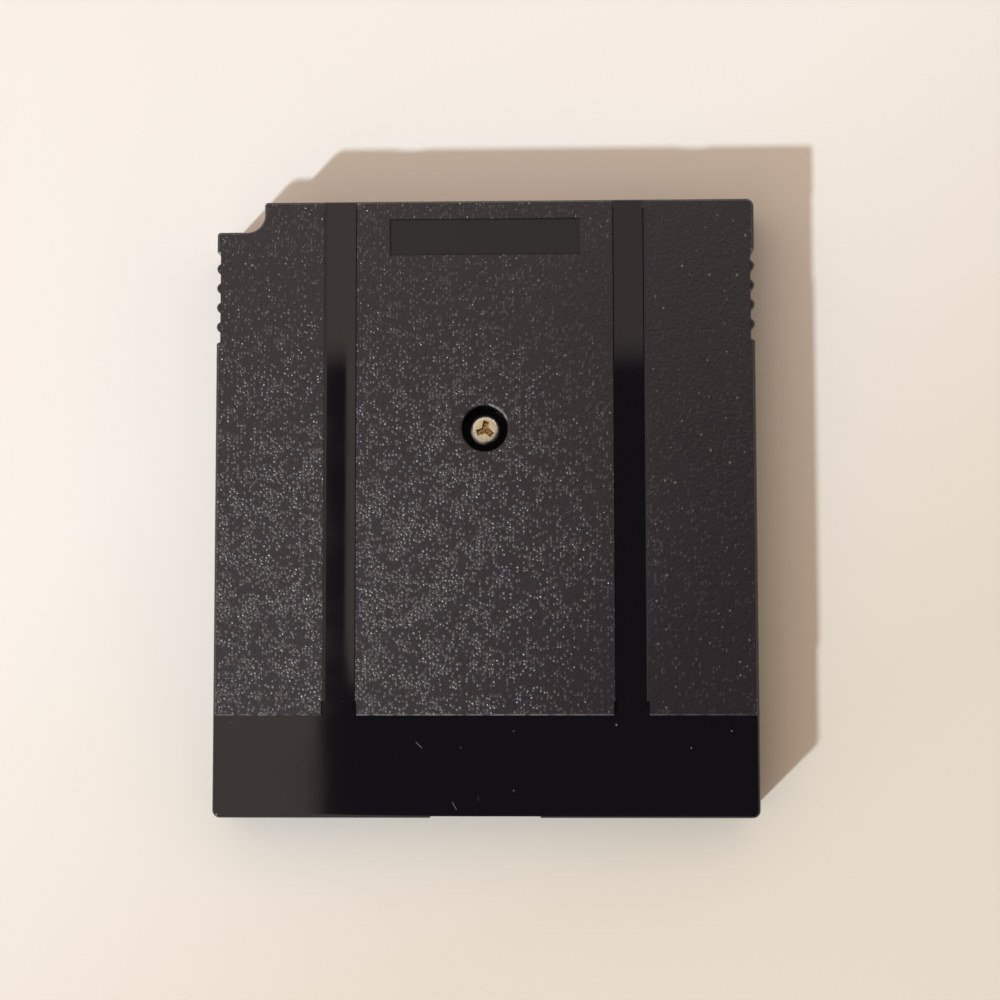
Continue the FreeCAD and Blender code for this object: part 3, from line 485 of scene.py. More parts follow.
def grained_plastic(name, settings, grain_mask, marks=None, rubbed=None, form=None, matt=None):
    """Black plastic, grained where the mask says and glossy elsewhere, with a seam at the parting plane."""
    material, sheet, shader = new_material(name)
    place = sheet.place()
    mask = grain_mask(sheet, place)
    # Wear flattens the grain and also takes away the painted glints and pale mottle, so the panels are
    # painted darker where it is high
    wear = rubbed(sheet, place) if rubbed else 0.0
    slope = sheet.mix(wear, settings.grain_slope, settings.grain_slope * settings.rubbed_grain)
    film = sheet.use("smudges", size=FILM_SIZE)["Film"]
    grain = sheet.use("moulded_grain", size=settings.grain_size, slope=slope, mask=mask, wear=wear)
    # Painted glints: sparse pale flecks in the dust colour on the panels
    glint_flecks = sheet.use("glint_specks", size=FLECK_SPACING, reach=FLECK_REACH)["Mask"]
    specks = sheet.product(glint_flecks, sheet.mix(mask, 0.0, settings.glint_flecks))
    # Marks hold real dust and scratches and, on the rear, painted highlights; all take the dust colour
    if marks:
        specks = sheet.math("MAXIMUM", specks, marks(sheet, place))
    from_seam = sheet.math("ABSOLUTE", sheet.math("SUBTRACT", place["Z"], PARTING_LEVEL))
    seam = sheet.ramp(from_seam, settings.seam_width, settings.seam_width * SEAM_FLOOR)
    height = sheet.math("MULTIPLY_ADD", seam, -SEAM_DEPTH_IN_MM, grain["Height"])
    if form:
        height = sheet.math("ADD", height, form(sheet, place))
    uneven = sheet.noise(settings.grain_size * MOTTLE_SIZE, detail=3.0, roughness=0.6)
    mottle = sheet.ramp(uneven, *MOTTLE_RANGE)
    fresh = sheet.product(mottle, sheet.mix(wear, settings.pale_ground, 0.0))
    panel = sheet.mix_colour(fresh, settings.panel, settings.dust_and_highlights)
    plain = sheet.mix_colour(mask, settings.plastic, panel)
    # Painted glints: the bumps' tips take the tips colour, less where the grain is worn
    pale = sheet.product(grain["Tips"], sheet.mix(wear, settings.glint_tips, 0.0))
    tipped = sheet.mix_colour(pale, plain, settings.tips)
    gloss = sheet.math("MULTIPLY_ADD", film, FILM_ROUGHNESS, settings.gloss_roughness)
    if matt:
        gloss = sheet.mix(matt(sheet, place), gloss, settings.ground_roughness)
    ground = sheet.mix(wear, settings.ground_roughness, settings.rubbed_roughness)
    grained = sheet.mix(grain["Tips"], ground, settings.panel_roughness)
    roughness = sheet.mix(mask, gloss, grained)
    # Real dust, scratches, the seam and the painted glints and highlights all get the rough finish
    dirt = sheet.math("MAXIMUM", specks, seam)
    sheet.finish(
        shader, sheet.mix_colour(specks, tipped, settings.dust_and_highlights),
        sheet.mix(dirt, roughness, MARK_ROUGHNESS), height, MM)
    return material


def plated_metal(name, colour, tarnish, roughness, scratch_size):
    """Bright metal with uneven tarnish and fine scratches."""
    film_size = scratch_size * 6
    film_strength = 0.35
    scratch_roughness = 0.25
    scratch_depth = 0.004 * MM
    material, sheet, shader = new_material(name)
    film = sheet.use("smudges", size=film_size)["Film"]
    scratches = sheet.noise(scratch_size, detail=6.0, roughness=0.7)
    shade = sheet.mix_colour(sheet.product(film, film_strength), colour, tarnish)
    rough = sheet.math("MULTIPLY_ADD", scratches, scratch_roughness, roughness)
    shader.inputs["Metallic"].default_value = 1.0
    sheet.finish(shader, shade, rough, scratches, scratch_depth)
    return material


def dull_solid(name, colour, roughness, grain_size):
    """Matt material with a slight mottle and a fine tooth."""
    mottle_size = grain_size * 8
    mottle_tone = 0.7
    mottle_roughness = 0.2
    tooth_depth = grain_size * 0.08
    material, sheet, shader = new_material(name)
    mottle = sheet.noise(mottle_size, detail=3.0)
    tooth = sheet.noise(grain_size, detail=3.0)
    shade = sheet.mix_colour(mottle, toned(colour, mottle_tone), colour)
    rough = sheet.math("MULTIPLY_ADD", mottle, mottle_roughness, roughness)
    sheet.finish(shader, shade, rough, tooth, tooth_depth)
    return material


# Operators, one for each piece or group of like pieces

class CARTRIDGE_OT_effects(Operator):
    """Build the node groups that the finishes share"""
    bl_idname = "cartridge.effects"
    bl_label = "Shared Effects"

    def execute(self, context):
        make_moulded_grain()
        make_glint_specks()
        make_smudges()
        return {"FINISHED"}


class CARTRIDGE_OT_case(Operator):
    """Finish both halves of the case in black plastic"""
    bl_idname = "cartridge.case"
    bl_label = "Case"

    # Soft end of the grain, in height
    GRAIN_FADE = 0.03 * MM

    # Grain and wear of the front face
    FRONT_GRAIN = 0.45
    FRONT_WEAR = 0.6

    # Heights between which a face counts more and more as sunk below the panels
    SUNK = (PANEL_LEVEL - 0.06 * MM, PANEL_LEVEL - 0.10 * MM)

    # Lower end of the panels
    PANEL_FOOT = CASE_LOW.y + 10.6 * MM

    # Wear of the panels, which also fades their painted glints away from the lamp: where it starts and is
    # full, across a slanted line and up to the top
    WORN_CORNER = (-10.0 * MM, 30.0 * MM)
    WORN_SLANT = -0.35
    WORN_TOP = (-5.0 * MM, 25.0 * MM)
    TOP_WEAR = 0.6

    # Painted highlight, an arc on the well's rim where it faces the lamp: radius, soft width, direction of
    # its middle, spread, heights and breaks
    RIM_RADIUS = 2.5 * MM
    RIM_WIDTH = (0.2 * MM, 0.1 * MM)
    RIM_MIDDLE = (0.64, 0.77)
    RIM_SPREAD = (0.78, 0.98)
    RIM_HEIGHTS = (PANEL_LEVEL - 0.3 * MM, PANEL_LEVEL - 0.2 * MM)
    RIM_BREAK_SIZE = 0.5 * MM
    RIM_BREAKS = (0.3, 0.6)

    # Painted highlight along the panels' lower bevel, which faces the lamp: its place, heights, breaks,
    # strength and fading to the right
    EDGE_PLACE = (PANEL_FOOT + 0.2 * MM, PANEL_FOOT + 0.12 * MM)
    EDGE_HEIGHTS = (PANEL_LEVEL - 0.16 * MM, PANEL_LEVEL - 0.1 * MM)
    EDGE_BREAK_SIZE = 0.9 * MM
    EDGE_BREAKS = (0.34, 0.62)
    EDGE_STRENGTH = 0.75
    EDGE_FADE = (0.0, 24.0 * MM)
    EDGE_FADED = 0.25

    # Inner side of a groove: distance from the middle and rise above its floor (mm)
    GROOVE_SLOPE = ((15.0, 0.0), (14.3, 0.05), (13.65, 0.15))

    # Hollow of that side: rise (mm), places between which it starts, and the end of the flare below it
    HOLLOW_RISE = 0.016
    HOLLOW_START = (PANEL_FOOT, PANEL_FOOT + 9.0 * MM)
    FLARE_END = (PANEL_FOOT + 1.45 * MM, PANEL_FOOT + 1.5 * MM)

    # Shallow plate, each value with its soft edge
    PLATE_SIDE = (10.3 * MM, 10.1 * MM)
    PLATE_FOOT = (26.4 * MM, 26.5 * MM)
    PLATE_HEAD = (30.6 * MM, 30.5 * MM)

    # Dust on the strip: place, radius (mm) and strength
    DUST = (
        (13.64, -22.87, 0.14, 0.7), (21.36, -25.26, 0.12, 0.6), (25.55, -23.49, 0.12, 0.6),
        (2.96, -23.5, 0.1, 0.45), (2.96, -29.64, 0.12, 0.5), (-2.53, -25.22, 0.14, 0.2),
    )

    # Scratches on the strip: middle, length, width (mm), direction (degrees) and strength
    SCRATCHES = (
        (-6.89, -24.96, 1.1, 0.17, -45.0, 0.35), (-3.21, -31.2, 1.1, 0.15, -60.0, 0.4),
        (-0.71, -30.5, 0.5, 0.1, 80.0, 0.2), (-26.6, -22.6, 0.9, 0.14, 25.0, 0.12),
    )

    # Share of a dust speck's radius, and of a scratch's length and width from its middle, that is full
    DUST_CORE = 0.4
    SCRATCH_CORE = (0.3, 0.2)

    def execute(self, context):
        settings = context.scene.cartridge.case

        def on_panels(sheet, place):
            low = PANEL_LEVEL - settings.panel_edge
            return sheet.ramp(place["Z"], low, low + self.GRAIN_FADE)

        def on_front_face(sheet, place):
            low = CASE_LOW.z + self.GRAIN_FADE
            return sheet.product(sheet.ramp(place["Z"], low + self.GRAIN_FADE, low), self.FRONT_GRAIN)

        cover("rear_shell", grained_plastic(
            "rear_plastic", settings, on_panels, marks=self.rear_marks_and_highlights, rubbed=self.wear_and_glint_fade,
            form=self.groove_hollow, matt=self.on_plate))
        cover("front_shell", grained_plastic(
            "front_plastic", settings, on_front_face, rubbed=lambda sheet, place: self.FRONT_WEAR))
        return {"FINISHED"}

    def rear_marks_and_highlights(self, sheet, place):
        """Dust and scratches on the strip, and painted highlights on the panels' lower bevel and the well's
        rim.
        """
        flat = sheet.vector(X=place["X"], Y=place["Y"])
        found = sheet.math("MAXIMUM", self.bevel_highlight(sheet, place), self.rim_highlight(sheet, place))
        for x, y, radius, strength in self.DUST:
            middle = (x * MM, y * MM, 0.0)
            away = sheet.add("ShaderNodeVectorMath", {0: flat, 1: middle}, operation="DISTANCE")
            spot = sheet.ramp(away.outputs["Value"], radius * MM, radius * self.DUST_CORE * MM)
            found = sheet.math("MAXIMUM", found, sheet.product(spot, strength))
        for x, y, length, width, turn, strength in self.SCRATCHES:
            local = sheet.result("ShaderNodeMapping", {
                "Vector": flat, "Location": (x * MM, y * MM, 0.0), "Rotation": (0.0, 0.0, math.radians(turn)),
            }, vector_type="TEXTURE")
            along, across, _ = sheet.add("ShaderNodeSeparateXYZ", {"Vector": local}).outputs
            mark = strength
            for side, size, core in zip((along, across), (length, width), self.SCRATCH_CORE):
                from_middle = sheet.math("ABSOLUTE", side)
                mark = sheet.product(sheet.ramp(from_middle, size / 2 * MM, size * core * MM), mark)
            found = sheet.math("MAXIMUM", found, mark)
        return found

    def wear_and_glint_fade(self, sheet, place):
        """Wear of the grain, which also fades its painted glints; both grow towards the lower right corner,
        away from the lamp, and a little towards the top.
        """
        across = sheet.math("MULTIPLY_ADD", place["Y"], self.WORN_SLANT, place["X"])
        corner = sheet.ramp(across, *self.WORN_CORNER)
        top = sheet.ramp(place["Y"], *self.WORN_TOP)
        return sheet.math("MULTIPLY_ADD", top, self.TOP_WEAR, corner, clamp=True)

    def rim_highlight(self, sheet, place):
        """Painted highlight: a pale broken arc on the upper right of the well's rim, on the side that faces
        the lamp.
        """
        x, y, from_axis = sheet.about_screw(place)
        from_rim = sheet.math("ABSOLUTE", sheet.math("SUBTRACT", from_axis, self.RIM_RADIUS))
        middle_x, middle_y = self.RIM_MIDDLE
        towards = sheet.math("MULTIPLY_ADD", x, middle_x, sheet.product(y, middle_y))
        return sheet.where(
            (from_rim, self.RIM_WIDTH),
            (sheet.math("DIVIDE", towards, from_axis), self.RIM_SPREAD),
            (place["Z"], self.RIM_HEIGHTS),
            (sheet.noise(self.RIM_BREAK_SIZE), self.RIM_BREAKS))

    def bevel_highlight(self, sheet, place):
        """Painted highlight: a pale broken line on the panels' lower bevel, where it faces the lamp."""
        line = sheet.where(
            (place["Y"], self.EDGE_PLACE),
            (place["Z"], self.EDGE_HEIGHTS),
            (sheet.noise(self.EDGE_BREAK_SIZE, detail=3.0), self.EDGE_BREAKS))
        faded = sheet.mix(sheet.ramp(place["X"], *self.EDGE_FADE), 1.0, self.EDGE_FADED)
        return sheet.product(line, faded, self.EDGE_STRENGTH)

    def groove_hollow(self, sheet, place):
        """Soft hollow in the inner side of both grooves, as a height in millimetres over the plain slopes."""
        across = sheet.math("DIVIDE", sheet.math("ABSOLUTE", place["X"]), MM)

        def climb(near, far, rise):
            limits = {"Value": across, "From Min": near, "From Max": far, "To Max": rise}
            return sheet.result("ShaderNodeMapRange", limits)

        share = climb(self.GROOVE_SLOPE[0][0], self.GROOVE_SLOPE[-1][0], 1.0)
        start = sheet.ramp(place["Y"], *self.HOLLOW_START)
        height = sheet.product(sheet.math("POWER", share, 2.0), start, self.HOLLOW_RISE)
        for (near, low), (far, high) in zip(self.GROOVE_SLOPE, self.GROOVE_SLOPE[1:]):
            height = sheet.math("ADD", height, climb(near, far, low - high))
        return sheet.product(height, sheet.where((place["Z"], self.SUNK), (place["Y"], self.FLARE_END)))

    def on_plate(self, sheet, place):
        """Floor of the shallow plate, which is matt."""
        return sheet.where(
            (place["Z"], self.SUNK),
            (sheet.math("ABSOLUTE", place["X"]), self.PLATE_SIDE),
            (place["Y"], self.PLATE_FOOT),
            (place["Y"], self.PLATE_HEAD))


class CARTRIDGE_OT_grip_ribs(Operator):
    """Round the grip ribs and their ends"""
    bl_idname = "cartridge.grip_ribs"
    bl_label = "Grip Ribs"

    # Faces round a rib, and rings of the ball that its domed end comes from
    SEGMENTS = 32
    RINGS = 16

    # Height below which the ball's vertices go down to the rib's other end
    EQUATOR = -0.001 * MM

    # Largest angle between faces that are shaded as one (degrees)
    SHARP = 60

    def execute(self, context):
        settings = context.scene.cartridge.grips
        tree = self.rib_tree()
        ends = {
            "rear": (PANEL_LEVEL - settings.rib_end, 0.0),
            "front": (CASE_LOW.z + settings.rib_end, math.pi),
        }
        for half, (level, tilt) in ends.items():
            piece = grow(f"{half}_grip_ribs", tree, {
                "Count": settings.rib_count,
                "Pitch": settings.rib_pitch,
                "Middle": settings.middle,
                "Radius": settings.rib_radius,
                "Half Width": CASE_HIGH.x - settings.rib_radius,
                "Level": level,
                "Length": abs(level - PARTING_LEVEL),
                "Tilt": tilt,
                "Material": NODES[f"{half}_shell"].data.materials[0],
            })
            smooth(piece, self.SHARP)
            join_scene(piece)
        return {"FINISHED"}

    def rib_tree(self):
        """Rows of round ribs with domed ends, one row for each side of the case."""
        sheet, source, target = new_shape_tree("grip_ribs", {
            "Count": 4, "Pitch": 2.0 * MM, "Middle": 0.0, "Radius": 0.5 * MM, "Half Width": 28.0 * MM,
            "Level": 0.0, "Length": 2.0 * MM, "Tilt": 0.0, "Material": None,
        })
        ball = sheet.result("GeometryNodeMeshUVSphere", {
            "Segments": self.SEGMENTS, "Rings": self.RINGS, "Radius": source["Radius"]})
        position = sheet.result("GeometryNodeInputPosition")
        height = sheet.add("ShaderNodeSeparateXYZ", {"Vector": position}).outputs["Z"]
        lower = sheet.result("FunctionNodeCompare", {"A": height, "B": self.EQUATOR}, operation="LESS_THAN")
        widen = 1.0 / math.cos(math.pi / self.RINGS)
        flat = sheet.vectors("MULTIPLY", position, (widen, widen, 0.0))
        foot = sheet.vectors("ADD", flat, sheet.vector(Z=sheet.math("SUBTRACT", 0.0, source["Length"])))
        rib = sheet.result("GeometryNodeSetPosition", {
            "Geometry": ball, "Selection": lower, "Position": foot})
        turned = sheet.result("GeometryNodeTransform", {
            "Geometry": rib, "Rotation": sheet.vector(X=source["Tilt"])})
        half_row = sheet.product(sheet.math("SUBTRACT", source["Count"], 1), 0.5, source["Pitch"])
        first = sheet.math("SUBTRACT", source["Middle"], half_row)
        rows = []
        for side in (-1.0, 1.0):
            x = sheet.product(source["Half Width"], side)
            line = sheet.result("GeometryNodeMeshLine", {
                "Count": source["Count"],
                "Start Location": sheet.vector(X=x, Y=first, Z=source["Level"]),
                "Offset": sheet.vector(Y=source["Pitch"]),
            })
            rows.append(sheet.result("GeometryNodeInstanceOnPoints", {"Points": line, "Instance": turned}))
        return end_shape_tree(sheet, target, rows, source["Material"])


class CARTRIDGE_OT_screw(Operator):
    """Make the case screw with its thread and three-wing recess"""
    bl_idname = "cartridge.screw"
    bl_label = "Case Screw"

    # Fineness of the turned body: faces round it, rings of the thread, of its run-out and of the crown
    SEGMENTS = 72
    THREAD_STEPS = 84
    RUNOUT_STEPS = 9
    CROWN_STEPS = 8

    # Shank: tip's radius as a share of the core's, its length, neck, and half a crest as a share of the pitch
    TIP_RADIUS = 0.55
    TIP_LENGTH = 0.18 * MM
    NECK = 0.25 * MM
    CREST = 0.36

    # Chamfer under the head, draft of the recess and reach of its cutter above the head
    SEAT_CHAMFER = 0.06 * MM
    DRAFT = 0.12 * MM
    OVERCUT = 0.2 * MM

    # Largest angle between faces that are shaded as one (degrees)
    SHARP = 38

    # Finish: depths where the recess starts, its reach and the rim's painted reflection as shares, and the
    # patch of painted highlight on the lower left
    RECESS_DEPTH = (0.02 * MM, 0.12 * MM)
    RECESS_REACH = (1.15, 1.05)
    RIM_REACH = (0.72, 0.86)
    CRESCENT_SIDE = (-1.15 * MM, -1.75 * MM)
    CRESCENT_START = (0.9 * MM, 1.1 * MM)
    CRESCENT_DULLING = 0.8

    # Finish: film, scratches, tarnish between them, and the head's roughness and relief
    FILM_SIZE = 0.7 * MM
    FILM_STRENGTH = 0.45
    SCRATCH_SIZE = 0.16 * MM
    TARNISH_RANGE = (0.42, 0.6)
    SCRATCH_ROUGHNESS = 0.3
    LEAST_ROUGHNESS = 0.2
    RECESS_RELIEF = 1.5
    RELIEF = 0.03 * MM

    def execute(self, context):
        settings = context.scene.cartridge.screw
        piece = new_object("case_screw_threaded", self.turned_mesh(settings))
        self.cut_recess(piece, settings)
        smooth(piece, self.SHARP)
        piece.data.materials.clear()
        piece.data.materials.append(self.brass(settings))
        join_scene(piece, ["case_screw"])
        return {"FINISHED"}

    def radius_rings(self, settings):
        """Rings from the tip to the head's top, as (height, radius, thread depth)."""
        seat = SCREW_HIGH.z - settings.head_height
        core, head, crown = settings.core_radius, settings.head_radius, settings.crown_radius
        thread_foot = SCREW_LOW.z + self.TIP_LENGTH
        thread_length = seat - self.NECK - thread_foot
        rings = [(SCREW_LOW.z, core * self.TIP_RADIUS, 0.0)]
        for step in range(self.THREAD_STEPS + 1):
            height = thread_foot + thread_length * step / self.THREAD_STEPS
            runout = min(step, self.THREAD_STEPS - step, self.RUNOUT_STEPS) / self.RUNOUT_STEPS
            rings.append((height, core, (settings.thread_radius - core) * runout))
        rings.append((seat, core, 0.0))
        rings.append((seat, head - self.SEAT_CHAMFER, 0.0))
        rings.append((seat + self.SEAT_CHAMFER, head, 0.0))
        for step in range(self.CROWN_STEPS + 1):
            turn = math.pi / 2 * step / self.CROWN_STEPS
            height = SCREW_HIGH.z - crown * (1 - math.sin(turn))
            rings.append((height, head - crown * (1 - math.cos(turn)), 0.0))
        return rings

    def turned_mesh(self, settings):
        """Closed turned body whose radius follows a helix along the shank."""
        shape = bmesh.new()
        loops = []
        for height, radius, depth in self.radius_rings(settings):
            loop = []
            for index in range(self.SEGMENTS):
                turn = index / self.SEGMENTS
                phase = ((height - SCREW_LOW.z) / settings.pitch - turn) % 1.0
                reach = radius + depth * max(0.0, 1.0 - abs(phase - 0.5) / self.CREST)
                angle = 2 * math.pi * turn
                x = SCREW_CENTRE.x + reach * math.cos(angle)
                y = SCREW_CENTRE.y + reach * math.sin(angle)
                loop.append(shape.verts.new((x, y, height)))
            loops.append(loop)
        for lower, upper in zip(loops, loops[1:]):
            for index in range(self.SEGMENTS):
                following = (index + 1) % self.SEGMENTS
                shape.faces.new((lower[index], lower[following], upper[following], upper[index]))
        shape.faces.new(loops[0][::-1])
        shape.faces.new(loops[-1])
        return shape_mesh("case_screw_threaded", shape)

    def cut_recess(self, piece, settings):
        """Cut the three wings into the head."""
        cutters = []
        for wing in range(3):
            angle = settings.wing_angle + wing * 2 * math.pi / 3
            cutter = new_object(f"wing_cutter_{wing}", self.wing_mesh(settings, angle))
            cut = piece.modifiers.new(f"wing_{wing}", "BOOLEAN")
            cut.operation = "DIFFERENCE"
            cut.solver = "EXACT"
            cut.object = cutter
            cutters.append(cutter)
        freeze(piece)
        for cutter in cutters:
            bpy.data.objects.remove(cutter)

    def wing_mesh(self, settings, angle):
        """One wing: a block with drafted walls, turned about the screw's axis."""
        top = SCREW_HIGH.z + self.OVERCUT
        floor = SCREW_HIGH.z - settings.wing_depth
        offset, half_width = settings.wing_offset, settings.wing_width / 2
        shape = bmesh.new()
        place = Matrix.Translation((SCREW_CENTRE.x, SCREW_CENTRE.y, 0.0)) @ Matrix.Rotation(angle, 4, "Z")
        corners = []
        for height, draft in ((floor, self.DRAFT), (top, 0.0)):
            low, high = offset - half_width + draft, offset + half_width - draft
            near, far = draft - offset, settings.wing_length - draft * 2
            for x, y in ((near, low), (far, low), (far, high), (near, high)):
                corners.append(shape.verts.new(place @ Vector((x, y, height))))
        for face in ((3, 2, 1, 0), (4, 5, 6, 7), (0, 1, 5, 4), (1, 2, 6, 5), (2, 3, 7, 6), (3, 0, 4, 7)):
            shape.faces.new([corners[index] for index in face])
        return shape_mesh("wing_cutter", shape)

    def brass(self, settings):
        """Plated brass, with a painted reflection round the head's edge, a painted highlight on the crown's
        lower left, and brown in the recess.
        """
        material, sheet, shader = new_material("screw_brass")
        place = sheet.place()
        x, y, from_axis = sheet.about_screw(place)
        depths = [SCREW_HIGH.z - depth for depth in self.RECESS_DEPTH]
        reaches = [settings.wing_length * share for share in self.RECESS_REACH]
        recess = sheet.where((place["Z"], depths), (from_axis, reaches))
        film = sheet.use("smudges", size=self.FILM_SIZE)["Film"]
        scratches = sheet.noise(self.SCRATCH_SIZE, detail=5.0, roughness=0.65)
        # Painted reflection: the outer ring of the head is painted in the rim colour
        rim = sheet.ramp(from_axis, *(settings.head_radius * share for share in self.RIM_REACH))
        # Painted highlight: a white crescent on the crown's lower left, made less metallic
        crescent_highlight = sheet.where((sheet.math("ADD", x, y), self.CRESCENT_SIDE), (from_axis, self.CRESCENT_START))
        face = sheet.mix_colour(sheet.product(film, self.FILM_STRENGTH), settings.brass, settings.rubbed)
        edged = sheet.mix_colour(sheet.math("MAXIMUM", rim, crescent_highlight), face, settings.rim)
        bare = sheet.ramp(scratches, *self.TARNISH_RANGE)
        inside = sheet.mix_colour(bare, settings.tarnish, settings.rubbed)
        metallic = sheet.math("SUBTRACT", 1.0, sheet.product(crescent_highlight, self.CRESCENT_DULLING))
        sheet.feed(shader.inputs["Metallic"], metallic)
        sheet.finish(
            shader, sheet.mix_colour(recess, edged, inside),
            sheet.math("MULTIPLY_ADD", scratches, self.SCRATCH_ROUGHNESS, self.LEAST_ROUGHNESS),
            sheet.math("MULTIPLY_ADD", recess, self.RECESS_RELIEF, scratches), self.RELIEF)
        return material


class CARTRIDGE_OT_board(Operator):
    """Finish the circuit board and its contacts, and add the copper behind them"""
    bl_idname = "cartridge.board"
    bl_label = "Circuit Board"

    # Solder mask: where it starts, its roughness and the bare laminate's, and the weave under both
    MASK_START = (CONTACTS_HIGH.y - 0.35 * MM, CONTACTS_HIGH.y - 0.25 * MM)
    MASK_ROUGHNESS = 0.3
    BARE_ROUGHNESS = 0.55
    WEAVE_SIZE = 0.7 * MM
    WEAVE_DEPTH = 0.01 * MM

    # Gold: stretch, waves per metre and depth of the wiping marks, roughness, and the film on it
    WIPING_STRETCH = (9.0, 0.5, 1.0)
    WIPING_WAVES = 900.0
    WIPING_DEPTH = 0.006 * MM
    WIPING_ROUGHNESS = 0.3
    GOLD_ROUGHNESS = 0.14
    FILM_SIZE = 3.0 * MM
    FILM_STRENGTH = 0.6

    # Lightness of the weave, of filmed gold and of copper under the mask, against the plain colours
    GREEN_TONE = 1.5
    TAN_TONE = 0.75
    FILM_TONE = 0.55
    COPPER_TONE = 1.9

    # Faces round the pad at a trace's end
    PAD_SEGMENTS = 20

    def execute(self, context):
        settings = context.scene.cartridge.board
        cover("circuit_board", self.laminate(settings))
        cover("edge_contacts", self.gold(settings))
        middle = (CONTACTS_LOW.x + CONTACTS_HIGH.x) / 2
        piece = grow("contact_traces", self.fanout_tree(), {
            "Count": settings.contact_count,
            "Pitch": settings.contact_pitch,
            "Start": middle - (settings.contact_count - 1) / 2 * settings.contact_pitch,
            "Edge": CONTACTS_HIGH.y,
            "Level": CONTACTS_LOW.z,
            "Width": settings.trace_width,
            "Length": settings.trace_length,
            "Step": settings.trace_step,
            "Height": settings.copper_height,
            "Via Radius": settings.via_radius,
            "Material": self.masked_copper(settings),
        })
        join_scene(piece)
        return {"FINISHED"}

    def laminate(self, settings):
        """Green mask that stops short of the contacts, over tan laminate."""
        material, sheet, shader = new_material("board_laminate")
        mask = sheet.ramp(sheet.place()["Y"], *self.MASK_START)
        weave = sheet.noise(self.WEAVE_SIZE, detail=3.0)
        green = sheet.mix_colour(weave, settings.mask, toned(settings.mask, self.GREEN_TONE))
        tan = sheet.mix_colour(weave, settings.laminate, toned(settings.laminate, self.TAN_TONE))
        roughness = sheet.mix(mask, self.BARE_ROUGHNESS, self.MASK_ROUGHNESS)
        sheet.finish(shader, sheet.mix_colour(mask, tan, green), roughness, weave, self.WEAVE_DEPTH)
        return material

    def gold(self, settings):
        """Gold plate with wiping marks along each contact."""
        material, sheet, shader = new_material("contact_gold")
        stretched = sheet.result("ShaderNodeMapping", {
            "Vector": sheet.coordinates(), "Scale": self.WIPING_STRETCH})
        wiping = sheet.add("ShaderNodeTexNoise", {
            "Vector": stretched, "Scale": self.WIPING_WAVES, "Detail": 3.0}).outputs["Fac"]
        film = sheet.product(sheet.use("smudges", size=self.FILM_SIZE)["Film"], self.FILM_STRENGTH)
        shade = sheet.mix_colour(film, settings.gold, toned(settings.gold, self.FILM_TONE))
        roughness = sheet.math("MULTIPLY_ADD", wiping, self.WIPING_ROUGHNESS, self.GOLD_ROUGHNESS)
        shader.inputs["Metallic"].default_value = 1.0
        sheet.finish(shader, shade, roughness, wiping, self.WIPING_DEPTH)
        return material

    def masked_copper(self, settings):
        """Copper under the solder mask, a little lighter than the bare board."""
        lighter = toned(settings.mask, self.COPPER_TONE)
        return dull_solid("masked_copper", lighter, roughness=0.22, grain_size=0.25 * MM)

    def fanout_tree(self):
        """A short trace behind each contact, every second one longer, ending in a round pad."""
        sheet, source, target = new_shape_tree("contact_fanout", {
            "Count": 32, "Pitch": 1.5 * MM, "Start": 0.0, "Edge": 0.0, "Level": 0.0, "Width": 0.3 * MM,
            "Length": 1.0 * MM, "Step": 1.0 * MM, "Height": 0.03 * MM, "Via Radius": 0.4 * MM,
            "Material": None,
        })
        line = sheet.result("GeometryNodeMeshLine", {
            "Count": source["Count"],
            "Start Location": sheet.vector(X=source["Start"], Y=source["Edge"], Z=source["Level"]),
            "Offset": sheet.vector(X=source["Pitch"]),
        })
        odd = sheet.math("MODULO", sheet.result("GeometryNodeInputIndex"), 2.0)
        length = sheet.math("MULTIPLY_ADD", odd, source["Step"], source["Length"])
        block = sheet.result("GeometryNodeMeshCube", {"Size": (1.0, 1.0, 1.0)})
        bar = sheet.result("GeometryNodeTransform", {"Geometry": block, "Translation": (0.0, 0.5, 0.5)})
        bars = sheet.result("GeometryNodeInstanceOnPoints", {
            "Points": line, "Instance": bar,
            "Scale": sheet.vector(X=source["Width"], Y=length, Z=source["Height"]),
        })
        pad = sheet.result("GeometryNodeMeshCylinder", {
            "Vertices": self.PAD_SEGMENTS, "Radius": source["Via Radius"], "Depth": source["Height"]})
        shift = sheet.vector(Y=length, Z=sheet.product(source["Height"], 0.5))
        ends = sheet.result("GeometryNodeSetPosition", {"Geometry": line, "Offset": shift})
        pads = sheet.result("GeometryNodeInstanceOnPoints", {"Points": ends, "Instance": pad})
        return end_shape_tree(sheet, target, [bars, pads], source["Material"])


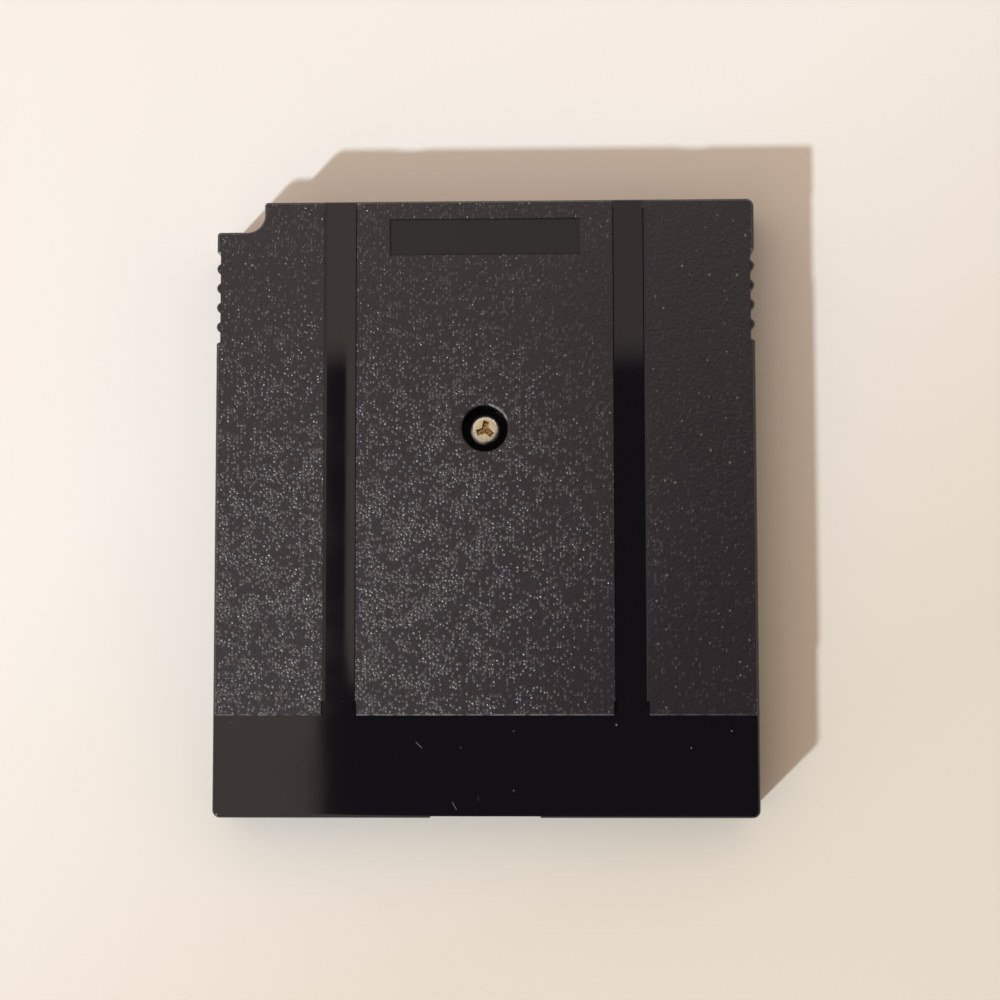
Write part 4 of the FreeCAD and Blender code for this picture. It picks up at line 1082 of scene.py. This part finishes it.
class CARTRIDGE_OT_components(Operator):
    """Finish the packages, leads, coin cell and chip components on the board"""
    bl_idname = "cartridge.components"
    bl_label = "Components"

    PACKAGES = ("program_memory", "bank_controller", "save_memory", "power_monitor")
    TIN_TARNISH = (0.28, 0.26, 0.22)

    # Metals of the coin cell: colour, tarnish, roughness and size of the scratches
    STEEL = ((0.62, 0.62, 0.61), (0.35, 0.33, 0.3), 0.16, 0.4 * MM)
    NICKEL = ((0.66, 0.63, 0.57), (0.4, 0.36, 0.3), 0.2, 0.3 * MM)

    # Ceramics of the chip components: colour, roughness and size of the grain
    CAPACITOR = ((0.42, 0.3, 0.18), 0.35, 0.1 * MM)
    RESISTOR = ((0.04, 0.04, 0.048), 0.3, 0.1 * MM)

    def execute(self, context):
        settings = context.scene.cartridge.board
        resin = dull_solid("package_resin", settings.resin, roughness=0.5, grain_size=0.12 * MM)
        tin = plated_metal("lead_tin", settings.tin, self.TIN_TARNISH, roughness=0.22, scratch_size=0.2 * MM)
        ends = plated_metal(
            "plated_ends", settings.tin, self.TIN_TARNISH, roughness=0.3, scratch_size=0.15 * MM)
        nickel = plated_metal("tab_nickel", *self.NICKEL)
        for package in self.PACKAGES:
            cover(package, resin)
            cover(f"{package}_leads", tin)
        cover("battery_cell", plated_metal("cell_steel", *self.STEEL))
        cover("battery_base_tab", nickel)
        cover("battery_top_tab", nickel)
        cover("capacitors", dull_solid("capacitor_ceramic", *self.CAPACITOR))
        cover("resistors", dull_solid("resistor_ceramic", *self.RESISTOR))
        cover("capacitor_ends", ends)
        cover("resistor_ends", ends)
        return {"FINISHED"}


class CARTRIDGE_OT_stage(Operator):
    """Set up the floor, the light and the camera"""
    bl_idname = "cartridge.stage"
    bl_label = "Stage"

    # Floor: gap below the case, finish, and its painted shade, a change of colour per metre from a start
    # under the case
    FLOOR_GAP = 0.02 * MM
    FLOOR_ROUGHNESS = 0.6
    FLOOR_SPECULAR = 0.2
    FLOOR_CHANGE_X = 9.0
    FLOOR_CHANGE_Y = -13.0
    FLOOR_START = 0.38

    # Dark card and dim part of the ceiling: places of their soft edges in a plane one unit above the part
    CARD_ACROSS = ((-0.1312, -0.1236), (1.4, 1.1))
    CARD_ALONG = ((0.162, 0.142), (-3.0, -2.0))
    DIM_ACROSS = ((-0.07, 0.05), (0.6, 0.4))
    DIM_ALONG = ((0.6, 0.4),)

    # Heights of a direction between which the horizon turns into the walls, and these into the ceiling
    HORIZON_END = (0.1, 0.25)
    WALLS_END = (0.1, 0.95)
    LEAST_HEIGHT = 0.001

    SENSOR_WIDTH = 36.0
    CLIP_START = 0.01

    def execute(self, context):
        settings = context.scene.cartridge.stage
        context.scene.view_settings.view_transform = "Standard"
        self.floor(settings)
        self.lamp(settings)
        self.world(context.scene, settings)
        self.camera(context.scene, settings)
        return {"FINISHED"}

    def floor(self, settings):
        shape = bmesh.new()
        bmesh.ops.create_grid(shape, x_segments=1, y_segments=1, size=settings.floor_size / 2)
        floor = new_object("floor", shape_mesh("floor", shape))
        floor.location.z = CASE_LOW.z - self.FLOOR_GAP
        material, sheet, shader = new_material("pale_floor")
        place = sheet.place()
        # Painted shade: the floor's colour darkens towards the right and the bottom
        across = sheet.math("MULTIPLY_ADD", place["X"], self.FLOOR_CHANGE_X, self.FLOOR_START)
        painted_falloff = sheet.math("MULTIPLY_ADD", place["Y"], self.FLOOR_CHANGE_Y, across, clamp=True)
        shade = sheet.mix_colour(painted_falloff, settings.floor, settings.floor_painted_shade)
        sheet.feed(shader.inputs["Base Color"], shade)
        shader.inputs["Roughness"].default_value = self.FLOOR_ROUGHNESS
        shader.inputs["Specular IOR Level"].default_value = self.FLOOR_SPECULAR
        floor.data.materials.append(material)

    def lamp(self, settings):
        data = bpy.data.lights.new("key_lamp", "AREA")
        data.shape = "DISK"
        data.size = settings.lamp_size
        data.energy = settings.lamp_power
        data.color = settings.lamp_colour
        level = math.cos(settings.lamp_elevation)
        towards = Vector((
            level * math.cos(settings.lamp_azimuth),
            level * math.sin(settings.lamp_azimuth),
            math.sin(settings.lamp_elevation),
        ))
        lamp = new_object("key_lamp", data)
        lamp.location = towards * settings.lamp_distance
        lamp.rotation_euler = (-towards).to_track_quat("-Z", "Y").to_euler()

    def world(self, scene, settings):
        """Ceiling that falls off to the walls, with a dark card that the glossy faces mirror."""
        world = bpy.data.worlds.new("studio")
        world.use_nodes = True
        world.node_tree.nodes.clear()
        sheet = NodeSheet(world.node_tree)
        direction = sheet.add("ShaderNodeTexCoord").outputs["Generated"]
        axis = sheet.add("ShaderNodeSeparateXYZ", {"Vector": direction}).outputs
        up = sheet.math("MAXIMUM", axis["Z"], self.LEAST_HEIGHT)
        across = sheet.math("DIVIDE", axis["X"], up)
        along = sheet.math("DIVIDE", axis["Y"], up)

        def within(across_edges, along_edges):
            edges = [(across, edge) for edge in across_edges] + [(along, edge) for edge in along_edges]
            return sheet.where(*edges)

        ceiling = sheet.mix_colour(sheet.ramp(axis["Z"], *self.WALLS_END), settings.walls, settings.ceiling)
        dimmed = sheet.mix_colour(within(self.DIM_ACROSS, self.DIM_ALONG), ceiling, settings.dim_ceiling)
        room = sheet.mix_colour(sheet.ramp(axis["Z"], *self.HORIZON_END), settings.horizon, dimmed)
        lit = sheet.mix_colour(within(self.CARD_ACROSS, self.CARD_ALONG), room, settings.flag)
        background = sheet.result("ShaderNodeBackground", {"Color": lit, "Strength": 1.0})
        sheet.add("ShaderNodeOutputWorld", {"Surface": background})
        scene.world = world

    def camera(self, scene, settings):
        data = bpy.data.cameras.new("camera")
        data.sensor_width = self.SENSOR_WIDTH
        data.lens = settings.camera_lens
        data.clip_start = self.CLIP_START
        camera = new_object("camera", data)
        turn = Matrix.Identity(4)
        turns = ((settings.camera_pan, "Y"), (settings.camera_pitch, "X"), (settings.camera_roll, "Z"))
        for angle, axis in turns:
            turn = turn @ Matrix.Rotation(angle, 4, axis)
        camera.matrix_world = Matrix.Translation(settings.camera_place) @ turn
        scene.camera = camera


class CARTRIDGE_PT_sidebar(Panel):
    """Lists the steps that finish the cartridge"""
    bl_idname = "CARTRIDGE_PT_sidebar"
    bl_label = "Game Cartridge"
    bl_space_type = "VIEW_3D"
    bl_region_type = "UI"
    bl_category = "Cartridge"

    def draw(self, context):
        for step in STEPS:
            self.layout.operator(step.bl_idname)


PROPERTY_GROUPS = (
    CaseProperties, GripProperties, ScrewProperties, BoardProperties, StageProperties, CartridgeProperties,
)
STEPS = (
    CARTRIDGE_OT_effects, CARTRIDGE_OT_case, CARTRIDGE_OT_grip_ribs, CARTRIDGE_OT_screw,
    CARTRIDGE_OT_board, CARTRIDGE_OT_components, CARTRIDGE_OT_stage,
)


def register():
    for made in (*PROPERTY_GROUPS, *STEPS, CARTRIDGE_PT_sidebar):
        bpy.utils.register_class(made)
    bpy.types.Scene.cartridge = PointerProperty(type=CartridgeProperties)


def unregister():
    del bpy.types.Scene.cartridge
    for made in reversed((*PROPERTY_GROUPS, *STEPS, CARTRIDGE_PT_sidebar)):
        bpy.utils.unregister_class(made)


def main():
    register()
    bpy.ops.cartridge.effects()
    bpy.ops.cartridge.case()
    bpy.ops.cartridge.grip_ribs()
    bpy.ops.cartridge.screw()
    bpy.ops.cartridge.board()
    bpy.ops.cartridge.components()
    bpy.ops.cartridge.stage()


if __name__ == "__main__":
    main()
